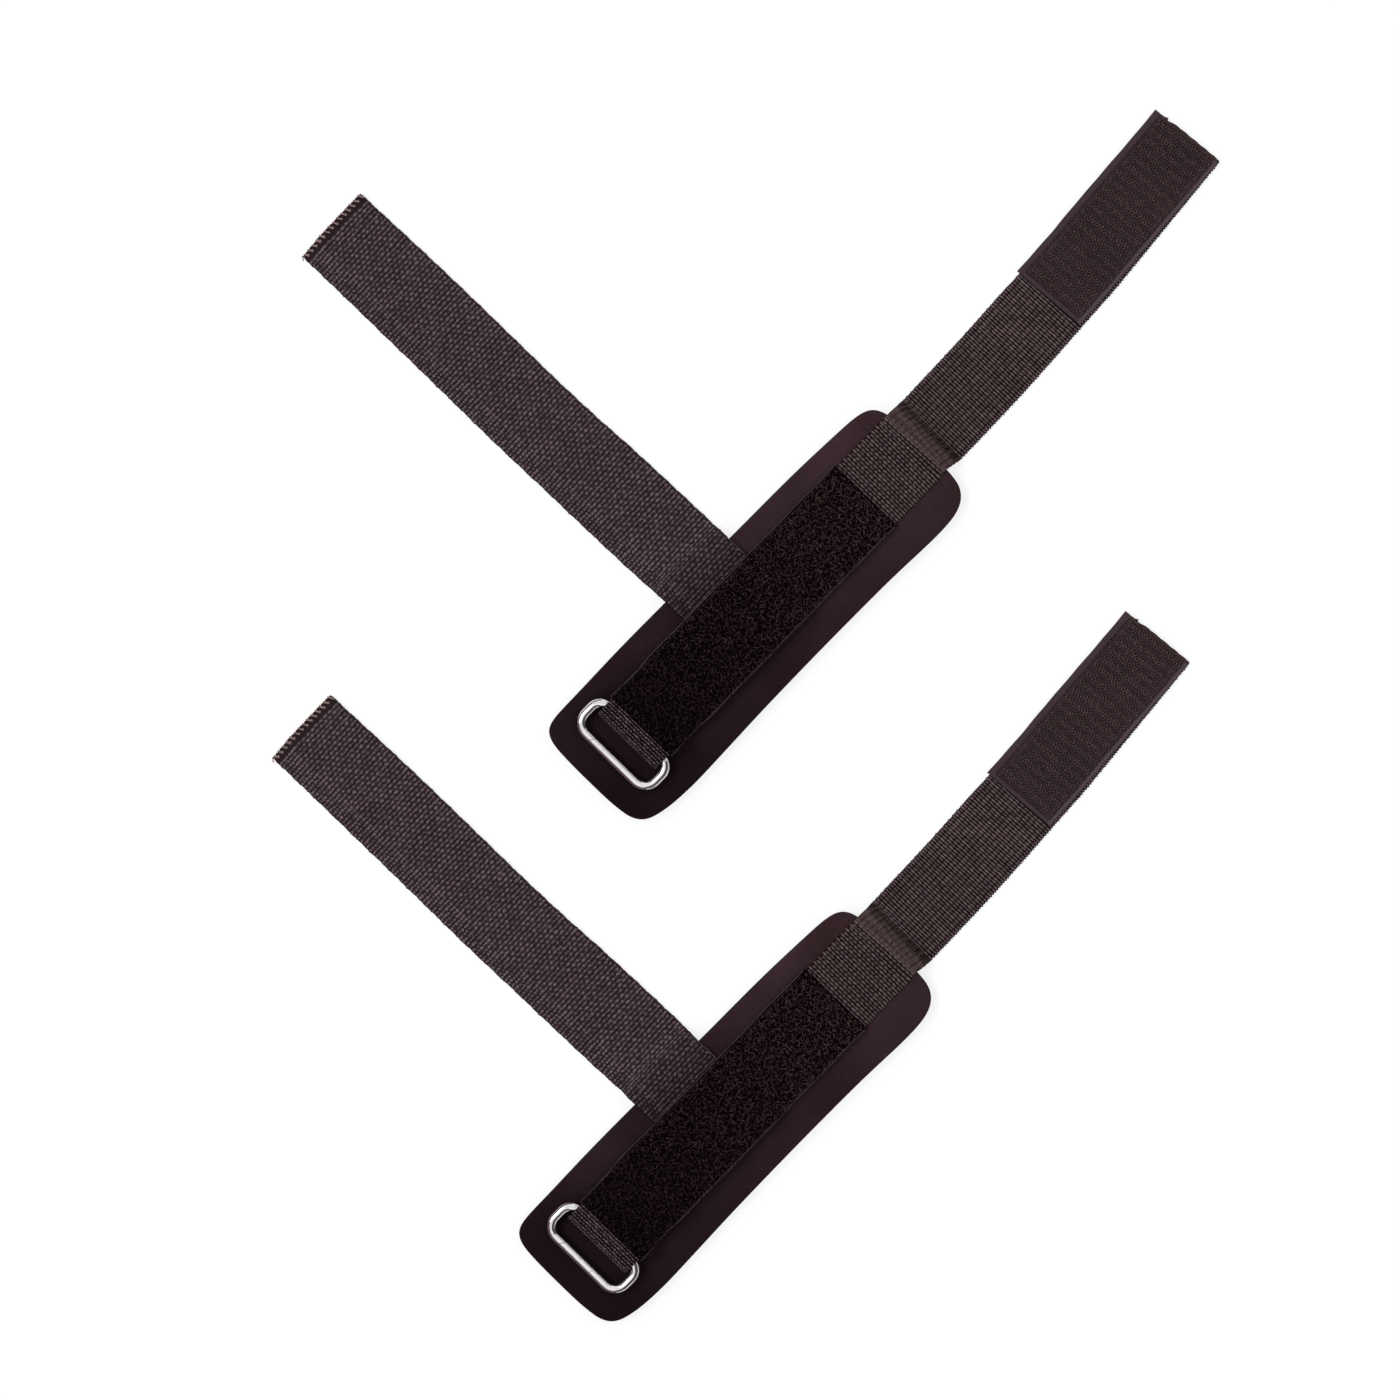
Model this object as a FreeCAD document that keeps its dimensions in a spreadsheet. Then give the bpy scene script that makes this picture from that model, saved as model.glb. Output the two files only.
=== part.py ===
import FreeCAD, Part
import math
import os
import Sketcher

# A pair of padded wrist cuffs with lifting straps, lying flat and open on a table.
# Millimetres. X runs along the cuff strap from the ring to the hook end, Y along the
# lifting strap from the pad to its free end, and Z is up, with the table at Z = 0.
# Each cuff is drawn about the centre of its own pad and then moved to its place.

SIZES = [
    # name, value, what it is
    ("pad_length", 210.0, "pad, along the cuff strap"),
    ("pad_width", 65.0, "pad, across the cuff strap, at the ring end"),
    ("pad_taper", 2.0, "how much narrower the pad is at its other end"),
    ("foam_thickness", 4.0, "foam rubber core"),
    ("facing_thickness", 0.5, "knitted facing on each side of the core"),
    ("tight_corner", 9.0, "radius of the pad's corners on the lifting strap side"),
    ("wide_corner", 14.0, "radius of the pad's other two corners"),
    ("strap_offset", 1.7, "cuff strap's centre line, from the pad's towards +Y"),
    ("webbing_width", 37.0, "nylon webbing of the cuff strap"),
    ("webbing_thickness", 1.2, "nylon webbing of the cuff strap"),
    ("wire_diameter", 4.6, "ring wire"),
    ("ring_length", 47.8, "ring, outside, across the strap"),
    ("ring_depth", 20.5, "ring, outside, along the strap"),
    ("inner_corner", 5.5, "ring's two corners at its inner bar, radius at the middle of the wire"),
    ("outer_corner", 6.6, "ring's two corners at its outer bar, radius at the middle of the wire"),
    ("butt_gap", 0.25, "butt joint where the ends of the ring's wire meet"),
    ("butt_place", 11.7, "ring's middle to the butt joint, along the outer bar"),
    ("butt_slant", 35.0, "degrees the butt joint slants across the wire"),
    ("ring_setback", 30.4, "pad's end to the middle of the ring's inner bar"),
    ("ring_seat_gap", 0.1, "between the ring's outer bar and the pad it lies on"),
    ("fold_radius", 3.1, "inside radius of the webbing's fold round the ring"),
    ("fold_slack", 1.3, "how far the fold runs past the ring's inner bar"),
    ("fold_tuck", 0.6, "how far each edge of the webbing draws in where it goes round the ring"),
    ("tuck_run", 4.0, "length over which the edges draw in"),
    ("fold_run_down", 12.0, "length over which the webbing comes down from the ring"),
    ("loop_start", 34.3, "pad's end to the start of the loop patch"),
    ("loop_length", 143.0, "loop patch"),
    ("loop_width", 38.2, "loop patch"),
    ("loop_thickness", 1.6, "loop patch with its pile"),
    ("tail_length", 82.0, "webbing from the pad's far end to the hook end's fold"),
    ("end_length", 101.5, "webbing from the hook end's fold to its tip"),
    ("end_bend", 4.0, "degrees the hook end lies turned towards +Y"),
    ("hook_start", 3.7, "hook end's fold to the start of the hook patch"),
    ("hook_length", 97.0, "hook patch"),
    ("hook_width", 36.5, "hook patch"),
    ("hook_thickness", 1.6, "hook patch with its hooks"),
    ("hook_shift", 1.2, "hook patch's centre line, from the webbing's towards +Y"),
    ("lift_centre", -5.5, "lifting strap's centre line, from the pad's middle along X"),
    ("lift_width", 39.5, "cotton webbing of the lifting strap"),
    ("lift_thickness", 2.0, "cotton webbing of the lifting strap"),
    ("lift_under", 32.0, "how far the sewn end reaches below the cuff webbing's edge"),
    ("lift_near_length", 111.5, "lifting strap from the pad's edge to its own fold"),
    ("lift_far_length", 112.0, "lifting strap from its own fold to its tip"),
    ("hump_run", 8.0, "length over which the webbing climbs onto the lifting strap"),
    ("drop_run", 10.0, "length over which a strap comes down from the pad"),
    ("step_lead", 0.5, "straight start of a swept strap before its first bend"),
    ("hump_clearance", 0.3, "between the lifting strap's edges and the webbing over it"),
    ("ply_gap", 0.1, "between the webbing's two plies behind the ring"),
    ("fold_gap", 0.4, "between the two solids of a strap where it folds"),
    ("pair_shift_x", -169.0, "left cuff's pad from the right cuff's, along X"),
    ("pair_shift_y", -146.0, "left cuff's pad from the right cuff's, along Y"),
    ("origin_x", 0.0, "right pad's middle in the pair's frame, set once all is built"),
    ("origin_y", 0.0, "right pad's middle in the pair's frame, set once all is built"),
]

doc = FreeCAD.newDocument("WristCuffPair")
sheet = doc.addObject("Spreadsheet::Sheet", "Sizes")
cell_of = {}
for row, (alias, value, meaning) in enumerate(SIZES, start=1):
    cell_of[alias] = f"B{row}"
    sheet.set(f"A{row}", alias)
    sheet.set(f"B{row}", str(value))
    sheet.set(f"C{row}", meaning)
    sheet.setAlias(f"B{row}", alias)
doc.recompute()

# Lengths that several pieces share, written once in terms of the sheet.
PAD_END = "(Sizes.pad_length / 2)"
PAD_EDGE = "(Sizes.pad_width / 2)"
PAD_TOP = "(Sizes.foam_thickness + 2 * Sizes.facing_thickness)"
WEBBING = "Sizes.webbing_thickness"
LIFT = "Sizes.lift_thickness"
LIFT_LEFT = "(Sizes.lift_centre - Sizes.lift_width / 2 - Sizes.hump_clearance)"
LIFT_RIGHT = "(Sizes.lift_centre + Sizes.lift_width / 2 + Sizes.hump_clearance)"
BAR_X = f"(Sizes.ring_setback - {PAD_END})"
BAR_Z = f"({PAD_TOP} + {WEBBING} + Sizes.fold_radius)"
LOOP_X = f"(Sizes.loop_start - {PAD_END})"
TAIL_FOLD_X = PAD_END
END_FOLD_X = f"({PAD_END} + Sizes.tail_length)"
LIFT_FOLD_Y = PAD_EDGE
LIFT_CURL_Y = f"({PAD_EDGE} + Sizes.lift_near_length)"
HALF_GAP = "Sizes.fold_gap / 2"
RING_DROP = "(2 * Sizes.fold_radius - Sizes.ply_gap)"
HUMP = f"({LIFT} - {WEBBING} - Sizes.ply_gap)"


def worked_out(expression):
    return float(sheet.evalExpression(expression.replace("Sizes.", "")))


def new_body(label):
    body = doc.addObject("PartDesign::Body", label)
    body.Label = label
    return body


def new_sketch(body, name, plane, lift_off="0"):
    """A sketch on one of the body's own origin planes, moved off it along its normal."""
    sketch = body.newObject("Sketcher::SketchObject", f"{body.Name}_{name}")
    for feature in body.Origin.OriginFeatures:
        if feature.Role == plane:
            sketch.AttachmentSupport = [(feature, "")]
    sketch.MapMode = "FlatFace"
    sketch.setExpression(".AttachmentOffset.Base.z", lift_off)
    return sketch


def hold(sketch, kind, *places, size=None):
    """Adds one constraint, with its value bound to an expression where it has one."""
    if size is None:
        return sketch.addConstraint(Sketcher.Constraint(kind, *places))
    number = sketch.addConstraint(Sketcher.Constraint(kind, *places, worked_out(size)))
    sketch.setExpression(f"Constraints[{number}]", size)
    return number


def hold_point(sketch, line, end, x, y):
    """Fixes one end of a line at x, y from the sketch's origin, whatever their signs."""
    for kind, where in (("DistanceX", x), ("DistanceY", y)):
        if abs(worked_out(where)) < 1e-9:
            axis = -2 if kind == "DistanceX" else -1
            hold(sketch, "PointOnObject", line, end, axis)
        else:
            hold(sketch, kind, -1, 1, line, end, size=where)


def pad_out(body, sketch, length):
    pad = body.newObject("PartDesign::Pad", f"{sketch.Name}_pad")
    pad.Profile = sketch
    pad.setExpression("Length", length)


def four_sided(sketch, corners):
    """Four lines through the corners, each corner held by its two expressions."""
    first = len(sketch.Geometry)
    points = [FreeCAD.Vector(worked_out(x), worked_out(y), 0) for x, y in corners]
    for index, point in enumerate(points):
        sketch.addGeometry(Part.LineSegment(point, points[(index + 1) % 4]), False)
    for index in range(4):
        hold(sketch, "Coincident", first + index, 2, first + (index + 1) % 4, 1)
    for index, (x, y) in enumerate(corners):
        hold_point(sketch, first + index, 1, x, y)


def cut_through(body, sketch):
    """Cuts the sketch's outline out of the body, from its top to its bottom."""
    cut = body.newObject("PartDesign::Pocket", f"{sketch.Name}_cut")
    cut.Profile = sketch
    cut.Type = "ThroughAll"
    cut.Midplane = True


def slab(label, corners, bottom, thickness):
    """A flat piece with a four-sided outline seen from above."""
    body = new_body(label)
    outline = new_sketch(body, "outline", "XY_Plane", bottom)
    four_sided(outline, corners)
    pad_out(body, outline, thickness)
    return body


def upright_edges(shape, side):
    """Names of a slab's upright edges on the +Y or the -Y side."""
    names = []
    for number, edge in enumerate(shape.Edges, start=1):
        foot, head = edge.Vertexes
        upright = math.hypot(head.X - foot.X, head.Y - foot.Y) < 1e-6
        if upright and foot.Y * side > 0:
            names.append(f"Edge{number}")
    return names


def pad_layer(label, bottom, thickness):
    """One layer of the pad: a tapering slab with two tight and two wide corners."""
    corners = [
        (f"-{PAD_END}", f"-{PAD_EDGE}"),
        (PAD_END, f"-{PAD_EDGE}"),
        (PAD_END, f"{PAD_EDGE} - Sizes.pad_taper"),
        (f"-{PAD_END}", PAD_EDGE),
    ]
    body = slab(label, corners, bottom, thickness)
    for side, radius in ((1, "Sizes.tight_corner"), (-1, "Sizes.wide_corner")):
        doc.recompute()
        carrier = body.Tip
        fillet = body.newObject("PartDesign::Fillet", f"{label}_corners")
        fillet.Base = (carrier, upright_edges(carrier.Shape, side))
        fillet.setExpression("Radius", radius)
    return body


class StrapPath:
    """A strap's middle line in an upright sketch: level runs, easy steps and a fold.

    Every step is a pair of opposite arcs of equal turn. The radius of a step is worked out
    for the surface that the strap lies on, and layer is how far above that surface the
    strap's middle line runs, so stacked straps share their arc centres and never cross.
    """

    def __init__(self, sketch, along, height, layer):
        self.sketch = sketch
        self.along = worked_out(along)
        self.height = worked_out(height)
        self.start = (along, height)
        self.layer = layer
        self.last = None

    def _add(self, shape, near, far):
        number = self.sketch.addGeometry(shape, False)
        if self.last is not None:
            hold(self.sketch, "Tangent", *self.last, number, near)
        self.last = (number, far)
        return number

    def level(self, to):
        first = self.last is None
        target = worked_out(to)
        ends = [FreeCAD.Vector(x, self.height, 0) for x in (self.along, target)]
        line = self._add(Part.LineSegment(*ends), 1, 2)
        hold(self.sketch, "Horizontal", line)
        if first:
            hold_point(self.sketch, line, 1, *self.start)
        hold(self.sketch, "DistanceX", -1, 1, line, 2, size=to)
        self.along = target

    def _arc(self, x, z, radius, low, high, near, far):
        circle = Part.Circle(FreeCAD.Vector(x, z, 0), FreeCAD.Vector(0, 0, 1), radius)
        arc = Part.ArcOfCircle(circle, math.radians(low), math.radians(high))
        return self._add(arc, near, far)

    def step(self, run, rise, up):
        """A smooth change of height: up is True for a climb, and rise is its size."""
        length = worked_out(run)
        height = worked_out(rise)
        bent = f"(({run})^2 + ({rise})^2) / (4 * ({rise}))"
        outer = f"{bent} + {self.layer}"
        inner = f"{bent} - ({self.layer})"
        crest = worked_out(outer)
        hollow = worked_out(inner)
        turn = 2 * math.degrees(math.atan2(height, length))
        end = self.along + length
        if up:
            first = self._arc(self.along, self.height + hollow, hollow, 270, 270 + turn, 1, 2)
            second = self._arc(end, self.height + height - crest, crest, 90, 90 + turn, 2, 1)
            sizes = (inner, outer)
            begin, finish = (first, 1), (second, 1)
            low, high = begin, finish
            self.height += height
        else:
            first = self._arc(self.along, self.height - crest, crest, 90 - turn, 90, 2, 1)
            second = self._arc(end, self.height - height + hollow, hollow, 270 - turn, 270, 1, 2)
            sizes = (outer, inner)
            begin, finish = (first, 2), (second, 2)
            low, high = finish, begin
            self.height -= height
        hold(self.sketch, "Radius", first, size=sizes[0])
        hold(self.sketch, "Radius", second, size=sizes[1])
        hold(self.sketch, "DistanceY", *low, *high, size=rise)
        self.along = end

    def fold_back(self, radius):
        """Half a turn, from running towards -X below to running towards +X above."""
        bend = worked_out(radius)
        fold = self._arc(self.along, self.height + bend, bend, 90, 270, 2, 1)
        hold(self.sketch, "Radius", fold, size=radius)
        self.height += 2 * bend


def swept_strap(label, plane, across_plane, start, middle, width, thickness, route, layer="0"):
    """A flat strap: its cross-section swept along a path drawn by route(path)."""
    body = new_body(label)
    along, height = start
    spine = new_sketch(body, "path", plane)
    route(StrapPath(spine, along, height, layer))
    section = new_sketch(body, "section", across_plane, along if plane == "XZ_Plane" else f"-({along})")
    sides = [f"{middle} - {width} / 2", f"{middle} + {width} / 2"]
    levels = [f"{height} - {thickness} / 2", f"{height} + {thickness} / 2"]
    four_sided(section, [(sides[0], levels[0]), (sides[1], levels[0]),
                         (sides[1], levels[1]), (sides[0], levels[1])])
    doc.recompute()
    pipe = body.newObject("PartDesign::AdditivePipe", f"{label}_sweep")
    pipe.Profile = section
    pipe.Spine = (spine, [f"Edge{n + 1}" for n in range(len(spine.Shape.Edges))])
    return body


def cuff_webbing_fixed(label):
    """From its turned-under end round the ring and along the pad to the pad's far end."""
    layer = f"{WEBBING} / 2"
    middle = f"{PAD_TOP} + {layer}"
    fold_x = f"({BAR_X} - Sizes.fold_slack)"

    def route(path):
        path.level(fold_x)
        path.fold_back(f"Sizes.fold_radius + {layer}")
        path.level(f"{LOOP_X} + Sizes.step_lead")
        path.step("Sizes.fold_run_down", RING_DROP, up=False)
        path.level(f"{LIFT_LEFT} - Sizes.hump_run")
        path.step("Sizes.hump_run", HUMP, up=True)
        path.level(LIFT_RIGHT)
        path.step("Sizes.hump_run", LIFT, up=False)
        path.level(f"{TAIL_FOLD_X} - {HALF_GAP}")

    body = swept_strap(label, "XZ_Plane", "YZ_Plane", (LIFT_LEFT, middle), "Sizes.strap_offset",
                       "Sizes.webbing_width", WEBBING, route, layer)
    # The ring's round corners press both edges of the webbing in at the fold.
    edges = new_sketch(body, "tucked_edges", "XY_Plane")
    beyond = f"{fold_x} - Sizes.fold_radius - 2 * {WEBBING}"
    narrow = f"{BAR_X} + Sizes.wire_diameter / 2"
    for side in ("-", "+"):
        edge = f"Sizes.strap_offset {side} Sizes.webbing_width / 2"
        tucked = f"Sizes.strap_offset {side} (Sizes.webbing_width / 2 - Sizes.fold_tuck)"
        outside = f"Sizes.strap_offset {side} (Sizes.webbing_width / 2 + Sizes.fold_tuck)"
        four_sided(edges, [(beyond, tucked), (narrow, tucked),
                           (f"{narrow} + Sizes.tuck_run * 2", outside), (beyond, outside)])
    cut_through(body, edges)
    return body


def loop_patch(label):
    """Pile tape on top of the webbing, following it down from the ring and over the hump."""
    layer = f"({WEBBING} + Sizes.loop_thickness / 2)"
    height = f"{PAD_TOP} + {WEBBING} + 2 * Sizes.fold_radius + {layer}"

    def route(path):
        path.level(f"{LOOP_X} + Sizes.step_lead")
        path.step("Sizes.fold_run_down", RING_DROP, up=False)
        path.level(f"{LIFT_LEFT} - Sizes.hump_run")
        path.step("Sizes.hump_run", HUMP, up=True)
        path.level(LIFT_RIGHT)
        path.step("Sizes.hump_run", LIFT, up=False)
        path.level(f"{LOOP_X} + Sizes.loop_length")

    return swept_strap(label, "XZ_Plane", "YZ_Plane", (LOOP_X, height), "Sizes.strap_offset",
                       "Sizes.loop_width", "Sizes.loop_thickness", route, layer)


def cuff_webbing_tail(label):
    """Off the pad's far end, down to the table and on to the hook end's fold."""
    layer = f"{WEBBING} / 2"
    start = f"{TAIL_FOLD_X} + {HALF_GAP}"

    def route(path):
        path.level(f"{start} + Sizes.step_lead")
        path.step("Sizes.drop_run", PAD_TOP, up=False)
        path.level(f"{END_FOLD_X} - {HALF_GAP}")

    return swept_strap(label, "XZ_Plane", "YZ_Plane", (start, f"{PAD_TOP} + {layer}"),
                       "Sizes.strap_offset", "Sizes.webbing_width", WEBBING, route, layer)


def lifting_strap_near(label):
    """Off the pad's long edge, down to the table and on to the strap's own fold."""
    layer = f"{LIFT} / 2"
    start = f"{LIFT_FOLD_Y} + {HALF_GAP}"

    def route(path):
        path.level(f"{start} + Sizes.step_lead")
        path.step("Sizes.drop_run", PAD_TOP, up=False)
        path.level(f"{LIFT_CURL_Y} - {HALF_GAP}")

    return swept_strap(label, "YZ_Plane", "XZ_Plane", (start, f"{PAD_TOP} + {layer}"),
                       "Sizes.lift_centre", "Sizes.lift_width", LIFT, route, layer)


def turned_strip(label, from_fold, length, width, shift, bottom, thickness):
    """A flat strip of the hook end: square across the fold, then turned towards +Y."""
    start = f"{END_FOLD_X} + {from_fold}"
    rise = "tan(Sizes.end_bend * 1deg)"
    low = f"Sizes.strap_offset + {shift} - {width} / 2 / cos(Sizes.end_bend * 1deg)"
    high = f"Sizes.strap_offset + {shift} + {width} / 2 / cos(Sizes.end_bend * 1deg)"
    far = f"{length} * cos(Sizes.end_bend * 1deg)"
    lean = f"{width} / 2 * sin(Sizes.end_bend * 1deg)"
    corners = [
        (start, f"{low} + {from_fold} * {rise}"),
        (f"{start} + {far} + {lean}", f"{low} + ({from_fold} + {far} + {lean}) * {rise}"),
        (f"{start} + {far} - {lean}", f"{high} + ({from_fold} + {far} - {lean}) * {rise}"),
        (start, f"{high} + {from_fold} * {rise}"),
    ]
    return slab(label, corners, bottom, thickness)


def cuff_webbing_end(label):
    length = f"(Sizes.end_length - {HALF_GAP})"
    return turned_strip(label, HALF_GAP, length, "Sizes.webbing_width", "0", "0", WEBBING)


def hook_patch(label):
    return turned_strip(label, "Sizes.hook_start", "Sizes.hook_length", "Sizes.hook_width",
                        "Sizes.hook_shift", WEBBING, "Sizes.hook_thickness")


def lifting_strap_slab(label, near, far, bottom):
    left = "Sizes.lift_centre - Sizes.lift_width / 2"
    right = "Sizes.lift_centre + Sizes.lift_width / 2"
    return slab(label, [(left, near), (right, near), (right, far), (left, far)], bottom, LIFT)


def lifting_strap_base(label):
    webbing_edge = "(Sizes.strap_offset + Sizes.webbing_width / 2)"
    near = f"{webbing_edge} - Sizes.lift_under"
    return lifting_strap_slab(label, near, f"{LIFT_FOLD_Y} - {HALF_GAP}", PAD_TOP)


def lifting_strap_far(label):
    near = f"{LIFT_CURL_Y} + {HALF_GAP}"
    return lifting_strap_slab(label, near, f"{LIFT_CURL_Y} + Sizes.lift_far_length", "0")


def ring(label):
    """Loop of round wire, bent up and closed with a butt joint. Drawn flat about its inner bar."""
    body = new_body(label)
    spine = new_sketch(body, "path", "XY_Plane")
    depth = worked_out("ring_depth - wire_diameter")
    half = worked_out("(ring_length - wire_diameter) / 2")
    near, far = worked_out("inner_corner"), worked_out("outer_corner")
    # The path starts and ends at the middle of the inner bar, where the section stands.
    ends = [((0, 0), (0, half - near)), ((-near, half), (far - depth, half)),
            ((-depth, half - far), (-depth, far - half)),
            ((far - depth, -half), (-near, -half)), ((0, near - half), (0, 0))]
    corners = [("inner_corner", -near, half - near), ("outer_corner", far - depth, half - far),
               ("outer_corner", far - depth, far - half), ("inner_corner", -near, near - half)]
    for (x1, y1), (x2, y2) in ends:
        line = Part.LineSegment(FreeCAD.Vector(x1, y1, 0), FreeCAD.Vector(x2, y2, 0))
        spine.addGeometry(line, False)
    for quarter, (radius, x, y) in enumerate(corners):
        circle = Part.Circle(FreeCAD.Vector(x, y, 0), FreeCAD.Vector(0, 0, 1), worked_out(radius))
        low = math.radians(90 * quarter)
        spine.addGeometry(Part.ArcOfCircle(circle, low, low + math.pi / 2), False)
    for quarter, (radius, x, y) in enumerate(corners):
        corner = 5 + quarter
        hold(spine, "Tangent", quarter, 2, corner, 1)
        hold(spine, "Tangent", corner, 2, quarter + 1, 1)
        hold(spine, "Radius", corner, size=f"Sizes.{radius}")
    hold(spine, "Coincident", 0, 1, -1, 1)
    hold(spine, "Coincident", 4, 2, -1, 1)
    hold(spine, "Vertical", 0)
    hold(spine, "DistanceX", 2, 1, -1, 1, size="Sizes.ring_depth - Sizes.wire_diameter")
    half_length = "(Sizes.ring_length - Sizes.wire_diameter) / 2"
    hold(spine, "DistanceY", -1, 1, 1, 1, size=half_length)
    hold(spine, "DistanceY", 3, 1, -1, 1, size=half_length)
    section = new_sketch(body, "section", "XZ_Plane")
    round_wire = Part.Circle(FreeCAD.Vector(), FreeCAD.Vector(0, 0, 1), worked_out("wire_diameter / 2"))
    section.addGeometry(round_wire, False)
    hold(section, "Coincident", 0, 3, -1, 1)
    hold(section, "Radius", 0, size="Sizes.wire_diameter / 2")
    doc.recompute()
    pipe = body.newObject("PartDesign::AdditivePipe", f"{label}_sweep")
    pipe.Profile = section
    pipe.Spine = (spine, [f"Edge{n + 1}" for n in range(len(spine.Shape.Edges))])
    # The two ends of the wire meet in the outer bar.
    joint = new_sketch(body, "butt_joint", "XY_Plane")
    bar = "(Sizes.wire_diameter - Sizes.ring_depth)"
    slant = "Sizes.wire_diameter * tan(Sizes.butt_slant * 1deg)"
    four_sided(joint, [
        (f"{bar} - Sizes.wire_diameter", f"Sizes.butt_place + {slant} - Sizes.butt_gap / 2"),
        (f"{bar} + Sizes.wire_diameter", f"Sizes.butt_place - {slant} - Sizes.butt_gap / 2"),
        (f"{bar} + Sizes.wire_diameter", f"Sizes.butt_place - {slant} + Sizes.butt_gap / 2"),
        (f"{bar} - Sizes.wire_diameter", f"Sizes.butt_place + {slant} + Sizes.butt_gap / 2")])
    cut_through(body, joint)
    return body


def place(body, shift, seat=("0", "0", "0"), tilt=None):
    """Puts a body at its cuff's place, plus its own seat, turned about Y where it tilts."""
    for axis, near, far in zip("xyz", shift, seat):
        body.setExpression(f"Placement.Base.{axis}", f"{near} + {far}")
    if tilt:
        body.Placement.Rotation = FreeCAD.Rotation(FreeCAD.Vector(0, 1, 0), 1)
        body.setExpression("Placement.Rotation.Angle", tilt)


RING_SEAT = (BAR_X, "Sizes.strap_offset", BAR_Z)
RING_TILT = ("-asin(({BAR_Z} - {PAD_TOP} - Sizes.ring_seat_gap - Sizes.wire_diameter / 2)"
             " / (Sizes.ring_depth - Sizes.wire_diameter))").format(BAR_Z=BAR_Z, PAD_TOP=PAD_TOP)
CUFFS = {
    "right": ("Sizes.origin_x", "Sizes.origin_y", "0"),
    "left": ("Sizes.origin_x + Sizes.pair_shift_x", "Sizes.origin_y + Sizes.pair_shift_y", "0"),
}
FACING = "Sizes.facing_thickness"
PAD_LAYERS = [
    ("pad_bottom_facing", "0", FACING),
    ("pad_core", FACING, "Sizes.foam_thickness"),
    ("pad_top_facing", f"{FACING} + Sizes.foam_thickness", FACING),
]
STRAPS = [cuff_webbing_fixed, loop_patch, cuff_webbing_tail, cuff_webbing_end, hook_patch,
          lifting_strap_base, lifting_strap_near, lifting_strap_far]

pieces = []
for cuff, shift in CUFFS.items():
    for name, bottom, thickness in PAD_LAYERS:
        piece = pad_layer(f"{cuff}_{name}", bottom, thickness)
        place(piece, shift)
        pieces.append(piece)
    for make in STRAPS:
        piece = make(f"{cuff}_{make.__name__}")
        place(piece, shift)
        pieces.append(piece)
    piece = ring(f"{cuff}_ring")
    place(piece, shift, RING_SEAT, RING_TILT)
    pieces.append(piece)
doc.recompute()

# The pair's frame has its origin on the table, under the middle of the whole pair.
whole = FreeCAD.BoundBox()
for piece in pieces:
    whole.add(piece.Shape.BoundBox)
sheet.set(cell_of["origin_x"], str(-whole.Center.x))
sheet.set(cell_of["origin_y"], str(-whole.Center.y))
doc.recompute()

for item in doc.Objects:
    if "Invalid" in item.State or "Error" in item.State:
        raise RuntimeError(f"{item.Label} could not be worked out: {item.State}")
for piece in pieces:
    if piece.Shape.isNull() or not piece.Shape.isValid() or len(piece.Shape.Solids) != 1:
        raise RuntimeError(f"{piece.Label} is not one valid solid")

os.makedirs("parts", exist_ok=True)
for piece in pieces:
    piece.Shape.exportStep(f"parts/{piece.Label}.step")
    print(f"{piece.Label}: {piece.Shape.Volume:.0f} cubic mm")
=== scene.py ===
import math

import bpy
import numpy as np
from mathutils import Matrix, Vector


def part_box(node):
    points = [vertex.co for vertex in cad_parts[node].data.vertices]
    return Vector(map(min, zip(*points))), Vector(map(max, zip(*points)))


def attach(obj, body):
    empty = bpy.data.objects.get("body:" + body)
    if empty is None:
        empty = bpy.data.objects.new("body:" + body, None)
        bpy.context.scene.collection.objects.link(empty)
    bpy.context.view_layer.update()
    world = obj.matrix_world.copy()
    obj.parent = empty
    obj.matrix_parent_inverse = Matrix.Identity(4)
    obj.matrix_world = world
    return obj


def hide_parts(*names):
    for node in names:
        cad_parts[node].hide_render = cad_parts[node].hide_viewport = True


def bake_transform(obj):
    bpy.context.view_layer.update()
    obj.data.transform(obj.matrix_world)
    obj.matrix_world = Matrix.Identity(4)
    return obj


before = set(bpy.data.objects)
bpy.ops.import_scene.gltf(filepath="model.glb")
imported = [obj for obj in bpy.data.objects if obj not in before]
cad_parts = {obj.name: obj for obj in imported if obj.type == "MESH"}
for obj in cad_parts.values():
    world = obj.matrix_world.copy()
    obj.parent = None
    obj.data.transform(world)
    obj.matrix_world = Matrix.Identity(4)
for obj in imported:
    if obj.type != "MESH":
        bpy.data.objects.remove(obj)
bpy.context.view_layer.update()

# A pair of padded wrist cuffs with lifting straps, lying flat and open on a table.
# Shapes are worked out in millimetres about the middle of each cuff's own pad, with X along
# the cuff strap from the ring to the hook end, Y along the lifting strap, and Z up from the
# table. They are put down in metres at the cuff's place in the frame.

MM = 0.001
SIDES = ("right", "left")

scene = bpy.context.scene
scene.view_settings.view_transform = "Standard"

# ---------------------------------------------------------------- sizes, in millimetres

PAD_TOP = 5.0

STRAP_SIDE = 1.7
WEBBING = 1.2
WEBBING_GROUND = 1.0
FOLD_BEND = 3.7
FOLD_X = -75.9
FOLD_FIRST_X = -25.6
RING_STEP_X = -70.2
RING_STEP_RUN = 12.0
RING_STEP_DROP = 6.1
HUMP_UP_X = -33.55
HUMP_RUN = 8.0
HUMP_UP = 0.7
HUMP_DOWN_X = 14.55
HUMP_DOWN = 2.0
GATHERS_FROM_X = 105.2
TAIL_STEP_X = 105.7
TAIL_FROM_X = 113.3
STEP_RUN = 10.0
WEBBING_SPLIT_X = 146.4
TIP_X = 287.3

LOOP_FROM_X = -70.9
LOOP_TO_X = 71.6
LOOP_WIDTH = 38.2
LOOP_GROUND = 0.7

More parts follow.
